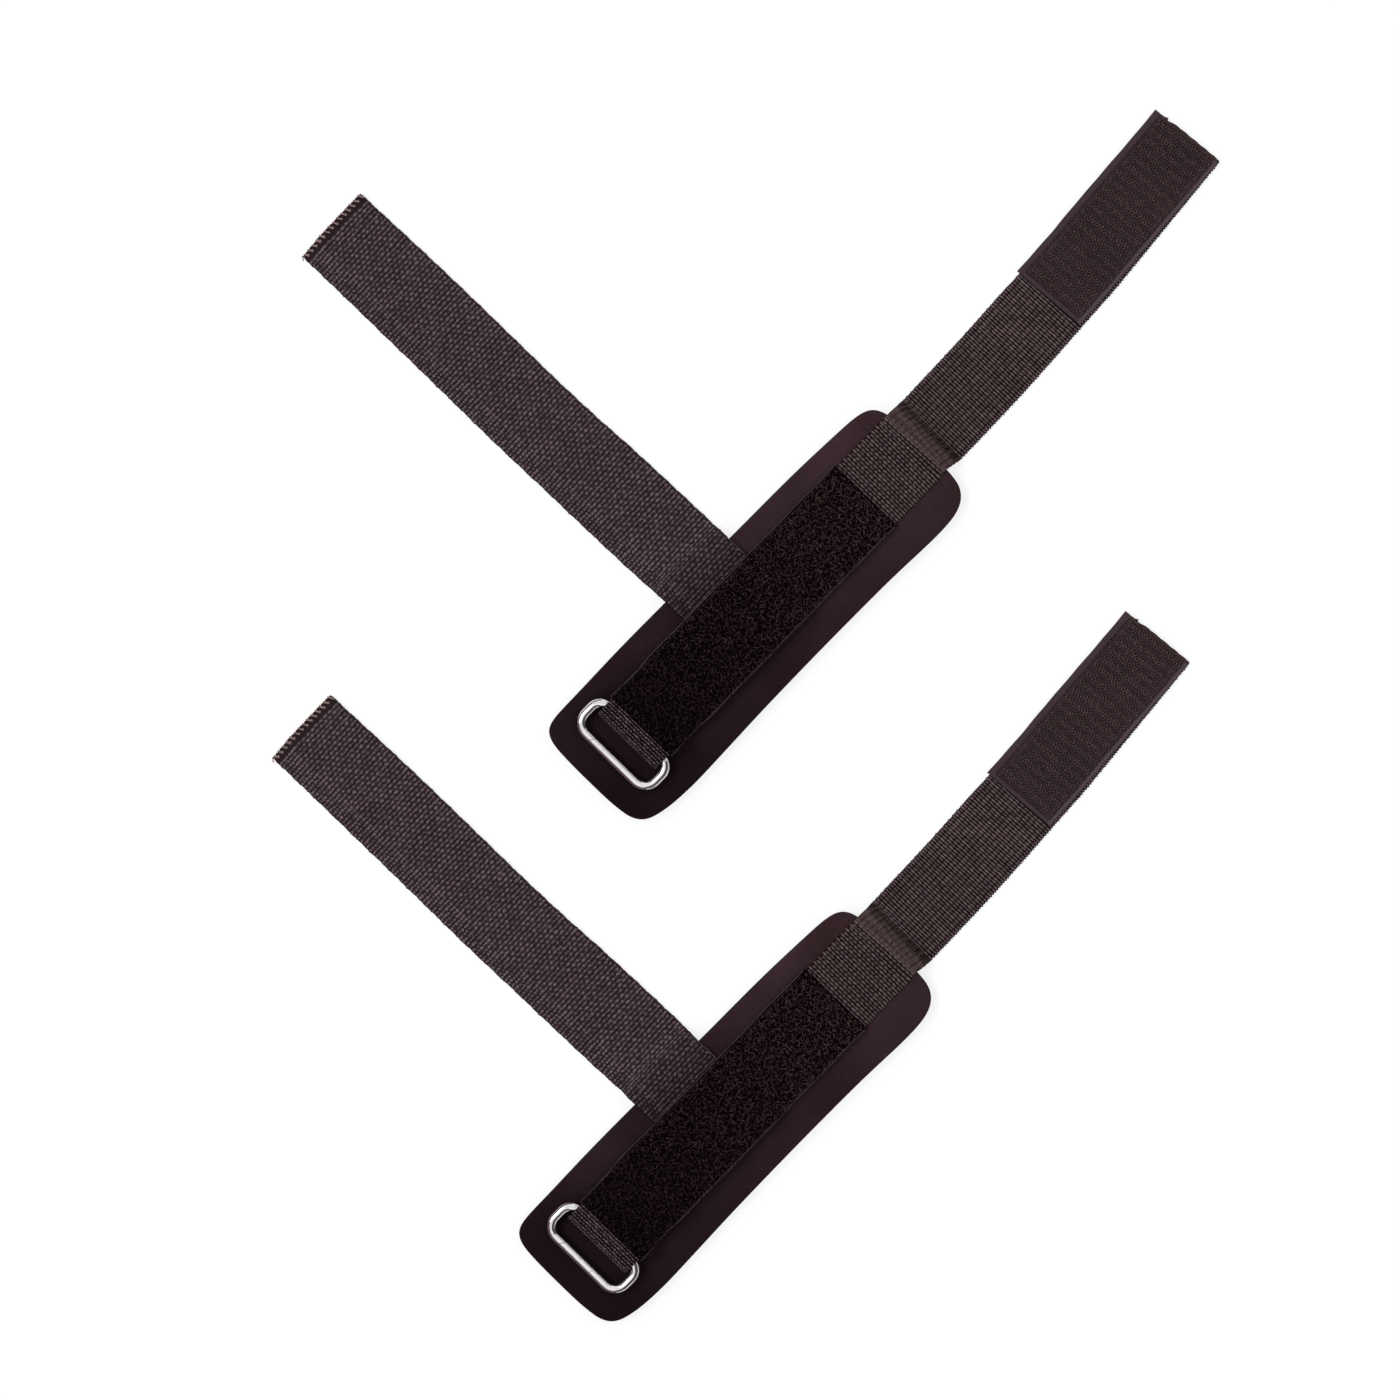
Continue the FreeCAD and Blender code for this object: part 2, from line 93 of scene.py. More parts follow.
HOOK_FROM_X = 191.8
HOOK_TO_X = 287.0
HOOK_WIDTH = 36.5
HOOK_GROUND = 0.8
HOOK_FIRST_CHAIN = 5.4
HOOK_CHAIN_PITCH = 4.78
HOOK_CHAINS = 19
HOOK_FIELD = (-15.9, 14.9)

RING_WIRE = 4.6
RING_DEPTH = 20.5
RING_LENGTH = 47.8
RING_INNER_CORNER = 5.5
RING_OUTER_CORNER = 6.6

RIB_PITCH = 1.40
PAD_RIB_PITCH = 1.462
RIB_REACH = 18.6
KNOT_PITCH = 1.93
KNOT_REACH = 19.6

LIFT_GROUND = 1.5
LIFT = 2.0
LIFT_FIRST_Y = -11.8
LIFT_SHOWS_Y = 18.6
LIFT_STEP_Y = 33.2
LIFT_SPLIT_Y = 88.0
LIFT_TIP_Y = 256.6

# The underside of every tape lies this much further along V of its UV map than its face does.
UNDER_FACE = 100.0

# Where each strap's middle lies to the side, and how wide it is, along its length.
WEBBING_DRIFT = (
    (-120, 1.7), (99, 1.8), (106, 2.0), (110, 1.55), (114, 1.1), (120, 1.2), (132, 1.38),
    (146, 1.64), (162, 2.2), (178, 2.94), (190, 3.4), (202, 3.95), (214, 4.55), (226, 5.55),
    (238, 6.55), (250, 7.6), (262, 8.6), (274, 9.62), (300, 11.85),
)
WEBBING_HALF = (
    (-120, 18.1), (-72, 18.1), (-64, 18.5), (98, 18.5), (106, 18.0), (108, 18.1), (111, 18.4),
    (114, 18.6), (126, 18.75), (178, 18.8), (192, 18.6), (300, 18.55),
)
HOOK_SHIFT = ((186, 1.45), (226, 1.40), (250, 0.95), (274, 0.45), (300, 0.25))
LIFT_DRIFT = (
    (-20, -3.6), (32, -4.1), (60, -4.8), (90, -5.45), (120, -6.3), (140, -6.6), (180, -6.62),
    (220, -6.9), (250, -7.4), (270, -7.6),
)
LIFT_HALF = (
    (-20, 20.1), (32, 20.2), (60, 20.48), (90, 20.35), (110, 20.0), (150, 19.88), (200, 19.8),
    (230, 19.55), (270, 19.2),
)

# The pad's outline, once round anticlockwise from the middle of its ring end.
PAD_OUTLINE = (
    (-104.9, 0.0), (-104.85, -9.0), (-104.5, -15.0), (-103.6, -22.0), (-101.9, -26.0),
    (-99.6, -28.5), (-96.4, -30.1), (-90.5, -31.6), (-83.0, -32.6), (-70.0, -33.1),
    (-50.0, -32.65), (-25.0, -32.05), (10.0, -31.85), (45.0, -32.15), (61.0, -32.65),
    (76.0, -33.35), (86.0, -33.45), (93.3, -32.8), (97.6, -31.5), (100.5, -29.9),
    (103.8, -26.0), (105.0, -21.5), (105.5, -16.0), (105.8, -6.0), (105.6, 8.0),
    (105.0, 17.0), (103.9, 22.6), (102.0, 26.0), (99.4, 27.9), (95.5, 29.0), (91.0, 29.7),
    (80.0, 30.4), (64.0, 31.2), (48.0, 31.65), (21.0, 31.95), (-25.0, 32.55), (-52.0, 32.75),
    (-78.0, 32.35), (-92.0, 32.15), (-97.9, 31.5), (-101.3, 29.9), (-103.4, 26.2),
    (-104.4, 20.5), (-104.85, 10.0),
)


# ---------------------------------------------------------------- node helpers

class Number:
    """A number that a tree's nodes work out. Plain signs add the nodes that reckon with it."""

    def __init__(self, graph, socket):
        self.graph = graph
        self.socket = socket

    def __add__(self, other):
        return self.graph.math("ADD", self, other)

    def __radd__(self, other):
        return self.graph.math("ADD", other, self)

    def __sub__(self, other):
        return self.graph.math("SUBTRACT", self, other)

    def __rsub__(self, other):
        return self.graph.math("SUBTRACT", other, self)

    def __mul__(self, other):
        return self.graph.math("MULTIPLY", self, other)

    def __rmul__(self, other):
        return self.graph.math("MULTIPLY", other, self)

    def __truediv__(self, other):
        return self.graph.math("DIVIDE", self, other)


class Graph:
    """Adds nodes to a tree and joins them, so that a tree reads as a list of steps."""

    def __init__(self, tree):
        self.tree = tree

    def feed(self, socket, value):
        if isinstance(value, Number):
            value = value.socket
        if isinstance(value, bpy.types.NodeSocket):
            self.tree.links.new(value, socket)
        else:
            socket.default_value = value

    def node(self, kind, sockets=None, **settings):
        node = self.tree.nodes.new(kind)
        for name, value in settings.items():
            setattr(node, name, value)
        for place, value in (sockets or {}).items():
            self.feed(node.inputs[place], value)
        return node

    def add(self, kind, sockets=None, **settings):
        """A node's first output."""
        return self.node(kind, sockets, **settings).outputs[0]

    def given(self):
        """What the tree is given, by name."""
        outputs = self.node("NodeGroupInput").outputs
        return {output.name: Number(self, output) for output in outputs if output.name}

    def math(self, operation, *values, clamp=False):
        sockets = dict(enumerate(values))
        return Number(self, self.add("ShaderNodeMath", sockets, operation=operation, use_clamp=clamp))

    def vector(self, operation, *values):
        return self.add("ShaderNodeVectorMath", dict(enumerate(values)), operation=operation)

    def scaled(self, vector, amount):
        return self.add("ShaderNodeVectorMath", {0: vector, 3: amount}, operation="SCALE")

    def between(self, share, low, high):
        """A plain mix of two numbers by a share from 0 to 1."""
        return self.math("ADD", low, share * self.math("SUBTRACT", high, low))

    def xyz(self, x=0.0, y=0.0, z=0.0):
        return self.add("ShaderNodeCombineXYZ", {0: x, 1: y, 2: z})

    def parts(self, vector):
        """A vector's x, y and z."""
        return [Number(self, part) for part in self.node("ShaderNodeSeparateXYZ", {0: vector}).outputs]

    def chance(self, low, high, seed, number=0):
        """An even random number for each element, with its own run for each number."""
        sockets = {2: low, 3: high, 8: seed + number}
        return Number(self, self.node("FunctionNodeRandomValue", sockets, data_type="FLOAT").outputs[1])

    def mix(self, share, first, second, blend="MIX"):
        return self.node("ShaderNodeMix", {0: share, 6: first, 7: second},
                         data_type="RGBA", blend_type=blend, clamp_factor=True).outputs[2]

    def noise(self, place, scale, detail=2.0, roughness=0.5):
        node = self.node("ShaderNodeTexNoise", {"Vector": place, "Scale": scale, "Detail": detail,
                                                "Roughness": roughness})
        return Number(self, node.outputs["Fac"])

    def wave(self, place, scale, distortion=0.0, direction="X", detail=2.0, detail_scale=1.0):
        node = self.node("ShaderNodeTexWave", {"Vector": place, "Scale": scale, "Distortion": distortion,
                                               "Detail": detail, "Detail Scale": detail_scale},
                         bands_direction=direction)
        return Number(self, node.outputs["Fac"])

    def spread(self, value, low, high, first=0.0, second=1.0):
        return Number(self, self.add("ShaderNodeMapRange", {0: value, 1: low, 2: high, 3: first, 4: second}))

    def moved(self, geometry, place):
        return self.add("GeometryNodeSetPosition", {"Geometry": geometry, "Position": place})

    def noted(self, geometry, name, value, data_type="FLOAT", domain="POINT"):
        """The geometry with a value kept on it under a name."""
        sockets = {"Geometry": geometry, "Name": name, "Value": value}
        return self.add("GeometryNodeStoreNamedAttribute", sockets, data_type=data_type, domain=domain)


def geometry_tree(name, inputs):
    """A new Geometry Nodes tree with its named inputs, ready to be filled."""
    tree = bpy.data.node_groups.new(name, "GeometryNodeTree")
    tree.interface.new_socket(name="Strap", in_out="INPUT", socket_type="NodeSocketGeometry")
    for label, value in inputs.items():
        kind = "NodeSocketInt" if isinstance(value, int) else "NodeSocketFloat"
        tree.interface.new_socket(name=label, in_out="INPUT", socket_type=kind).default_value = value
    tree.interface.new_socket(name="Finish", in_out="INPUT", socket_type="NodeSocketMaterial")
    tree.interface.new_socket(name="Made", in_out="OUTPUT", socket_type="NodeSocketGeometry")
    graph = Graph(tree)
    return tree, graph, graph.given()


def sown(graph, given, in_row):
    """Points in rows along the strap: the points, each one's row, and its number in the row."""
    rows = graph.math("FLOOR", (given["To"] - given["From"]) / given["Row pitch"])
    points = graph.add("GeometryNodePoints", {"Count": rows * in_row + 0.5})
    index = Number(graph, graph.add("GeometryNodeInputIndex"))
    row = graph.math("FLOOR", (index + 0.5) / in_row)
    return points, row, index - row * in_row


def on_strap(graph, strap, place):
    """Position, normal and heading of a strap at a place of its UV map, and if it is there."""
    uv_map = graph.add("GeometryNodeInputNamedAttribute", {"Name": "UVMap"}, data_type="FLOAT_VECTOR")

    def read(value, at):
        node = graph.node("GeometryNodeSampleUVSurface",
                          {"Mesh": strap, "Value": value, "UV Map": uv_map, "Sample UV": at},
                          data_type="FLOAT_VECTOR")
        return node.outputs[0], node.outputs[1]

    position = graph.add("GeometryNodeInputPosition")
    normal = graph.add("GeometryNodeInputNormal")
    here, found = read(position, place)
    ahead, found_ahead = read(position, graph.vector("ADD", place, (0.0003, 0.0, 0.0)))
    heading = graph.vector("SUBTRACT", ahead, here)
    return here, read(normal, place)[0], heading, graph.math("MULTIPLY", found, found_ahead)


def turned(graph, rotation, axis, angle):
    """A rotation with one more turn about one of its own axes."""
    turn = graph.add("FunctionNodeAxisAngleToRotation", {"Axis": axis, "Angle": angle})
    return graph.add("FunctionNodeRotateRotation", {0: rotation, 1: turn}, rotation_space="LOCAL")


def standing(graph, normal, heading, turn):
    """A rotation with Z out of the strap and X along it, then turned about Z."""
    upright = graph.add("FunctionNodeAxesToRotation", {0: normal, 1: heading},
                        primary_axis="Z", secondary_axis="X")
    return turned(graph, upright, (0.0, 0.0, 1.0), turn)


def set_out(graph, given, points, wanted, thread, rotation, scale):
    """A copy of a thread on each wanted point, in its own shade of the dye, as real geometry."""
    copies = graph.add("GeometryNodeInstanceOnPoints", {
        "Points": points, "Selection": wanted, "Instance": thread, "Rotation": rotation, "Scale": scale})
    shade = graph.chance(0.0, 1.0, given["Seed"], 6)
    shaded = graph.noted(copies, "shade", shade, domain="INSTANCE")
    real = graph.add("GeometryNodeRealizeInstances", {0: shaded})
    painted = graph.add("GeometryNodeSetMaterial", {"Geometry": real, "Material": given["Finish"]})
    smooth = graph.add("GeometryNodeSetShadeSmooth", {"Geometry": painted})
    graph.node("NodeGroupOutput", {0: smooth})


def laid_yarns():
    """Rows of short yarn floats laid over one face of a strap, every other row a part stitch on."""
    tree, g, given = geometry_tree("laid_yarns", {
        "From": 0.0, "To": 0.1, "Low": -0.018, "High": 0.018, "Face": 0.0,
        "Row pitch": 0.0014, "Stitch pitch": 0.0027, "Length": 0.003, "Width": 0.001,
        "Height": 0.0003, "Sink": 0.0, "Odd length": 1.0, "Odd width": 1.0, "Odd height": 1.0,
        "Margin": 0.0005, "Offset": 0.0, "Odd offset": 0.5, "Turn": 0.0, "Turn jitter": 0.1,
        "Size jitter": 0.1, "Place jitter": 0.0001, "Around": 6, "Along": 5, "Seed": 1})
    low, high, stitch, seed = (given[label] for label in ("Low", "High", "Stitch pitch", "Seed"))
    columns = g.math("ROUND", (high - low) / stitch) + 1.0
    points, row, column = sown(g, given, columns)
    odd = g.math("FLOORED_MODULO", row, 2.0)
    u = given["From"] + (row + 0.5) * given["Row pitch"]
    v = low + ((column + 0.5) - odd * given["Odd offset"] + given["Offset"]) * stitch
    wanted = g.math("LESS_THAN", v, high + 0.0001)
    u = u + given["Place jitter"] * g.chance(-1.0, 1.0, seed, 1)
    v = v + given["Place jitter"] * g.chance(-1.0, 1.0, seed, 2)
    v = g.math("MAXIMUM", v, low + given["Margin"])
    v = g.math("MINIMUM", v, high - given["Margin"])
    here, normal, heading, found = on_strap(g, given["Strap"], g.xyz(u, v + given["Face"]))
    placed = g.moved(points, g.vector("SUBTRACT", here, g.scaled(normal, given["Sink"])))
    turn = given["Turn"] + given["Turn jitter"] * g.chance(-1.0, 1.0, seed, 3)
    swell = 1.0 + given["Size jitter"] * g.chance(-1.0, 1.0, seed, 5)
    half = swell * 0.5
    half_length = given["Length"] * half * g.between(odd, 1.0, given["Odd length"])
    half_width = given["Width"] * half * g.between(odd, 1.0, given["Odd width"])
    crown_height = given["Height"] * swell * g.between(odd, 1.0, given["Odd height"])

    ball = g.add("GeometryNodeMeshUVSphere", {
        "Segments": given["Around"], "Rings": given["Along"], "Radius": 1.0})
    ball = g.add("GeometryNodeTransform", {"Geometry": ball, "Rotation": (0.0, math.pi / 2, 0.0)})
    x, y, z = g.parts(g.add("GeometryNodeInputPosition"))
    fuller = g.math("SQRT", 1.0 + x * x)
    ball = g.moved(ball, g.xyz(x, y * fuller, z * fuller))
    own_place = g.add("GeometryNodeInputPosition")
    # crown is the height on the yarn, which the finishes use for painted shade low down and painted light on
    # top.
    crown = g.math("DIVIDE", g.parts(own_place)[2] + 0.15, 1.15, clamp=True)
    ball = g.noted(ball, "crown", crown)
    ball = g.noted(ball, "fibre", own_place, data_type="FLOAT_VECTOR")
    set_out(g, given, placed, g.math("MULTIPLY", wanted, found), ball,
            standing(g, normal, heading, turn), g.xyz(half_length, half_width, crown_height))
    return tree


def standing_loops():
    """Little bent threads standing on one face of a strap: pile loops, or hooks in rows."""
    tree, g, given = geometry_tree("standing_loops", {
        "From": 0.0, "To": 0.1, "Low": -0.018, "High": 0.018, "Face": 0.0,
        "Row pitch": 0.001, "Stitch pitch": 0.001, "Scatter": 0.5, "Strands": 1,
        "Strand gap": 0.0, "Bend radius": 0.0008, "Thread": 0.00012, "Sweep": 4.2,
        "Lift": 0.0, "Tip": 0.0, "Lean": 1.0, "Turn": 0.0, "Turn jitter": 3.14,
        "Size jitter": 0.25, "Bends": 6, "Sides": 3, "Seed": 1})
    low, row_pitch, stitch, strands, seed = (
        given[label] for label in ("Low", "Row pitch", "Stitch pitch", "Strands", "Seed"))
    columns = g.math("FLOOR", (given["High"] - low) / stitch)
    points, row, within = sown(g, given, columns * strands)
    column = g.math("FLOOR", (within + 0.5) / strands)
    strand = within - column * strands
    side = strand * 2.0 - (strands - 1.0)
    scatter_u = given["Scatter"] * row_pitch * g.chance(-1.0, 1.0, seed, 1)
    scatter_v = given["Scatter"] * stitch * g.chance(-1.0, 1.0, seed, 2)
    u = given["From"] + (row + 0.5) * row_pitch + scatter_u + side * given["Strand gap"]
    v = low + (column + 0.5) * stitch + scatter_v + strand * 0.5 * stitch
    here, normal, heading, found = on_strap(g, given["Strap"], g.xyz(u, v + given["Face"]))
    swell = 1.0 + given["Size jitter"] * g.chance(-1.0, 1.0, seed, 3)
    placed = g.moved(points, g.vector("ADD", here, g.scaled(normal, given["Lift"] * swell)))
    turn = given["Turn"] + given["Turn jitter"] * g.chance(-1.0, 1.0, seed, 4)
    lean = given["Tip"] + given["Lean"] * g.chance(-1.0, 1.0, seed, 5)

    sweep = given["Sweep"]
    arc = g.add("GeometryNodeCurveArc", {
        "Resolution": given["Bends"], "Radius": given["Bend radius"], "Sweep Angle": sweep,
        "Start Angle": math.pi / 2 - sweep * 0.5}, mode="RADIUS")
    section = g.add("GeometryNodeCurvePrimitiveCircle", {
        "Resolution": given["Sides"], "Radius": given["Thread"]}, mode="RADIUS")
    thread = g.add("GeometryNodeCurveToMesh", {"Curve": arc, "Profile Curve": section, "Fill Caps": True})
    thread = g.add("GeometryNodeTransform", {"Geometry": thread, "Rotation": (math.pi / 2, 0.0, 0.0)})
    own_z = g.parts(g.add("GeometryNodeInputPosition"))[2]
    # crown is the height on the thread, which the finishes use for painted shade low down and painted light
    # on top.
    crown = g.math("ADD", 0.5, own_z / (given["Bend radius"] * 2.0), clamp=True)
    thread = g.noted(thread, "crown", crown)
    leaning = turned(g, standing(g, normal, heading, turn), (1.0, 0.0, 0.0), lean)
    set_out(g, given, placed, found, thread, leaning, g.xyz(swell, swell, swell))
    return tree


LAID_YARNS = laid_yarns()
STANDING_LOOPS = standing_loops()
LENGTHS = ("From", "To", "Low", "High", "Face", "Row_pitch", "Stitch_pitch", "Length", "Width", "Height",
           "Sink", "Margin", "Place_jitter", "Strand_gap", "Bend_radius", "Thread", "Lift")


def grow(tree, strap, name, finish, **sizes):
    """Runs a tree over a strap, with lengths in millimetres, and keeps the result as a plain mesh."""
    carrier = bpy.data.objects.new(f"{name}_carrier", strap.data)
    scene.collection.objects.link(carrier)
    modifier = carrier.modifiers.new("grow", "NODES")
    modifier.node_group = tree
    sockets = {s.name: s.identifier for s in tree.interface.items_tree if s.in_out == "INPUT"}
    for label, value in sizes.items():
        modifier[sockets[label.replace("_", " ")]] = value * MM if label in LENGTHS else value
    modifier[sockets["Finish"]] = finish
    made = carrier.evaluated_get(bpy.context.evaluated_depsgraph_get())
    mesh = bpy.data.meshes.new_from_object(made)
    bpy.data.objects.remove(carrier)
    mesh.name = name
    mesh.materials.clear()
    mesh.materials.append(finish)
    mesh.polygons.foreach_set("material_index", [0] * len(mesh.polygons))
    return shown(name, mesh)


def shown(name, mesh):
    """An object for a mesh, put into the scene."""
    piece = bpy.data.objects.new(name, mesh)
    scene.collection.objects.link(piece)
    return piece


# ---------------------------------------------------------------- shared finishes

def shader_group(name, inputs, outputs):
    tree = bpy.data.node_groups.new(name, "ShaderNodeTree")
    for label, (kind, value) in inputs.items():
        socket = tree.interface.new_socket(name=label, in_out="INPUT", socket_type=kind)
        if value is not None:
            socket.default_value = value
    for label, kind in outputs.items():
        tree.interface.new_socket(name=label, in_out="OUTPUT", socket_type=kind)
    graph = Graph(tree)
    return tree, graph, graph.given(), graph.node("NodeGroupOutput")


FLOAT = "NodeSocketFloat"
COLOUR = "NodeSocketColor"
VECTOR = "NodeSocketVector"


def worn_cloth_group():
    """Dyed cloth that has faded and gathered lint unevenly, with the odd pale fleck."""
    tree, g, given, out = shader_group("worn_cloth", {
        "Place": (VECTOR, None), "Colour": (COLOUR, (0.05, 0.04, 0.04, 1.0)),
        "Faded": (COLOUR, (0.08, 0.07, 0.07, 1.0)), "Patch size": (FLOAT, 40.0),
        "Fade": (FLOAT, 0.4), "Flecks": (FLOAT, 0.2)}, {"Colour": COLOUR})
    broad = g.noise(given["Place"], given["Patch size"], 3.0, 0.55)
    fine = g.noise(given["Place"], given["Patch size"] * 22.0, 2.0, 0.6)
    faded = g.spread(broad, 0.35, 0.68) * given["Fade"]
    mask = g.math("ADD", faded, g.spread(fine, 0.55, 0.8) * given["Flecks"], clamp=True)
    g.feed(out.inputs["Colour"], g.mix(mask, given["Colour"], given["Faded"]))
    return tree


def yarn_colour_group():
    """Colour of one yarn: painted shade low down where it dives, painted light on its crown, and its own
    shade of the dye.
    """
    tree, g, given, out = shader_group("yarn_colour", {
        "Crown": (FLOAT, 1.0), "Shade": (FLOAT, 0.5), "Deep": (COLOUR, (0.01, 0.01, 0.01, 1.0)),
        "Lit": (COLOUR, (0.08, 0.06, 0.06, 1.0)), "Contrast": (FLOAT, 1.6), "Uneven": (FLOAT, 0.4)},
        {"Colour": COLOUR})
    # Painted shade and painted light: the colour runs from the shadowed colour low on the yarn to the lit
    # colour on its crown.
    rise = g.math("POWER", given["Crown"], given["Contrast"])
    tone = 1.0 + given["Uneven"] * (given["Shade"] - 0.5)
    g.feed(out.inputs["Colour"], dimmed(g, g.mix(rise, given["Deep"], given["Lit"]), tone))
    return tree


def filament_group():
    """Height of the fine filaments that run along a yarn with a slight twist."""
    tree, g, given, out = shader_group("filaments", {
        "Fibre": (VECTOR, None), "Count": (FLOAT, 9.0), "Twist": (FLOAT, 1.5)}, {"Height": FLOAT})
    x, y, z = g.parts(given["Fibre"])
    around = g.math("ARCTAN2", y, z + 0.35)
    lay = around * given["Count"] + x * given["Twist"] * given["Count"]
    g.feed(out.inputs["Height"], 0.5 + g.math("SINE", lay) * 0.5)
    return tree


def dimmed(graph, colour, tone):
    """A colour, each part of it times a number."""
    return graph.mix(1.0, colour, graph.xyz(tone, tone, tone), "MULTIPLY")


WORN_CLOTH = worn_cloth_group()
YARN_COLOUR = yarn_colour_group()
FILAMENTS = filament_group()


def srgb(red, green, blue):
    """A colour from its 0 to 255 display values."""
    def linear(value):
        value /= 255.0
        return value / 12.92 if value <= 0.04045 else ((value + 0.055) / 1.055) ** 2.4
    return (linear(red), linear(green), linear(blue), 1.0)


def new_material(name, **constants):
    """A material with its Principled shader, and the numbers that don't change over it."""
    material = bpy.data.materials.new(name)
    material.use_nodes = True
    shader = material.node_tree.nodes["Principled BSDF"]
    for label, value in constants.items():
        shader.inputs[label.replace("_", " ")].default_value = value
    return material, Graph(material.node_tree), shader


def paint(graph, shader, colour, roughness, relief, depth, strength):
    """Feeds a shader what changes over the surface: colour, roughness, and a relief this deep."""
    graph.feed(shader.inputs["Base Color"], colour)
    graph.feed(shader.inputs["Roughness"], roughness)
    bump = graph.add("ShaderNodeBump", {"Height": relief, "Distance": depth, "Strength": strength})
    graph.feed(shader.inputs["Normal"], bump)


def own_place(graph):
    return graph.node("ShaderNodeTexCoord").outputs["Object"]


def attribute(graph, name, output="Fac"):
    return graph.node("ShaderNodeAttribute", attribute_type="GEOMETRY", attribute_name=name).outputs[output]


def use_group(graph, tree, **values):
    """The output of a shared effect with its own values."""
    sockets = {label.replace("_", " "): value for label, value in values.items()}
    return graph.add("ShaderNodeGroup", sockets, node_tree=tree)


def painted_light_tone(graph, colour, low, high):
    """Painted light: the colour, low times as light where the mark called along is 0, high times where it is
    1.
    """
    tone = graph.spread(attribute(graph, "along"), 0.0, 1.3, low, low + 1.3 * (high - low))
    return dimmed(graph, colour, tone)


def painted_fold_shade(graph, colour):
    """Painted shade: the colour, darker down in the gathers where the webbing is pinched."""
    return dimmed(graph, colour, graph.spread(attribute(graph, "pinch"), 0.0, 1.0, 1.0, 0.30))


def jersey_finish(name, shaded, worn):
    """Fine knitted jersey: rows of tiny stitches, and a soft nap."""
    material, g, shader = new_material(name, Specular_IOR_Level=0.04)
    place = own_place(g)
    cloth = use_group(g, WORN_CLOTH, Place=place, Colour=shaded, Faded=worn, Patch_size=22.0,
                      Fade=0.55, Flecks=0.35)
    wales = g.wave(place, 420.0, 1.2, "X", 1.0, 2.0)
    courses = g.wave(place, 520.0, 1.2, "Y", 1.0, 2.0)
    knit = wales * courses
    nap = g.noise(place, 1500.0, 4.0, 0.7)
    # Painted light: the jersey is darkened at the ring end and lightened towards the far end and the lifting
    # strap's side.
    toned = painted_light_tone(g, g.mix(knit * 0.3, cloth, worn), 0.63, 2.12)
    paint(g, shader, toned, g.spread(nap, 0.3, 0.7, 0.78, 0.95), knit * 0.5 + nap * 1.6, 0.00018, 0.9)
    return material


def foam_finish():
    """Closed-cell foam rubber at the pad's cut edge."""
    material, g, shader = new_material("foam_rubber", Specular_IOR_Level=0.2)
    place = own_place(g)
    cells = g.add("ShaderNodeTexVoronoi", {"Vector": place, "Scale": 1900.0})
    cloth = use_group(g, WORN_CLOTH, Place=place, Colour=srgb(30, 22, 21), Faded=srgb(58, 44, 40),
                      Patch_size=60.0, Fade=0.6, Flecks=0.5)
    paint(g, shader, cloth, g.spread(cells, 0.0, 0.6, 0.65, 0.95), cells, 0.00015, 0.9)
    return material


def yarn_finish(name, deep, lit, uneven, contrast, filaments, specular=0.08, rough=0.55,
                painted_shade_end=0.55, painted_light_end=1.25):
    """Woven yarn: colour from each float's crown and its own shade of the dye, painted shade low down and
    painted light on top, a painted light gradient along the cuff, and filaments along it.
    """
    material, g, shader = new_material(name, Specular_IOR_Level=specular)
    # deep is the painted shade low on each yarn, lit its colour on the crown, lighter there as painted
    # light.
    yarn = use_group(g, YARN_COLOUR, Crown=attribute(g, "crown"), Shade=attribute(g, "shade"),
                     Deep=deep, Lit=lit, Contrast=contrast, Uneven=uneven)
    faded = tuple(min(1.0, c * 1.5) for c in lit[:3]) + (1.0,)
    cloth = use_group(g, WORN_CLOTH, Place=own_place(g), Colour=yarn, Faded=faded, Patch_size=35.0,
                      Fade=0.10, Flecks=0.12)
    strands = use_group(g, FILAMENTS, Fibre=attribute(g, "fibre", "Vector"), Count=filaments, Twist=0.6)
    # Painted light: the yarn is darker towards one end of the cuff and lighter towards the other; the nylon
    # also gets painted shade down in the gathers.
    toned = painted_light_tone(g, cloth, painted_shade_end, painted_light_end)
    if name.startswith("nylon"):
        toned = painted_fold_shade(g, toned)
    paint(g, shader, toned, g.spread(strands, 0.0, 1.0, rough + 0.15, rough), strands, 0.00010, 0.8)
    return material


def gathers_finish():
    """The face of the webbing where it is gathered: fine streaks that lean with the folds, browner partway
    down the folds, and painted shade deep in them.
    """
    material, g, shader = new_material("nylon_gathers", Specular_IOR_Level=0.04)
    u, v, _ = g.parts(g.add("ShaderNodeUVMap", uv_map="UVMap"))
    streaks = g.noise(g.xyz(u * 0.5, v + u * 0.3, 0.0), 1900.0, 3.0, 0.65)
    rows = g.wave(g.xyz(u, 0.0, 0.0), 108.0)
    lit = g.mix(g.spread(streaks, 0.38, 0.66), srgb(52, 39, 40), srgb(102, 87, 89))
    # Browner where a place lies partway down a gather.
    worn = g.mix(g.spread(attribute(g, "pinch"), 0.0, 0.5, 0.0, 0.3), lit, srgb(78, 60, 54))
    ribbed = g.mix(rows * 0.5, worn, srgb(46, 33, 35))
    paint(g, shader, painted_fold_shade(g, ribbed), g.spread(streaks, 0.0, 1.0, 0.85, 0.65), streaks, 0.00015, 0.8)
    return material


def hook_field_shade(graph, uv, colour):
    """The hook tape's woven field is painted darker than its smooth borders, as shade among its ribs and
    hooks, its lower border gets a painted highlight along its raised edge, and its cut end is worn brown.
    """
    u, v, _ = graph.parts(uv)
    low, high = HOOK_FIELD
    first = graph.spread(u, 1.7 * MM, 2.0 * MM)
    lower = graph.spread(v, (low - 0.3) * MM, (low + 0.1) * MM)
    upper = graph.spread(v, (high + 0.3) * MM, (high - 0.1) * MM)
    # Painted shade: the field's ground between the ribs and hooks.
    shaded = graph.mix(first * (lower * upper), colour, srgb(29, 17, 20))
    # Painted highlight along the raised lower border.
    rim = graph.spread(v, (low - 0.4) * MM, (low - 1.4) * MM)
    lit = graph.mix(rim * 0.8, shaded, srgb(82, 70, 75))
    reach = (HOOK_TO_X - HOOK_FROM_X) * MM
    worn = graph.spread(u, reach - 0.0022, reach - 0.0006)
    return graph.mix(worn * 0.6, lit, srgb(66, 50, 46))


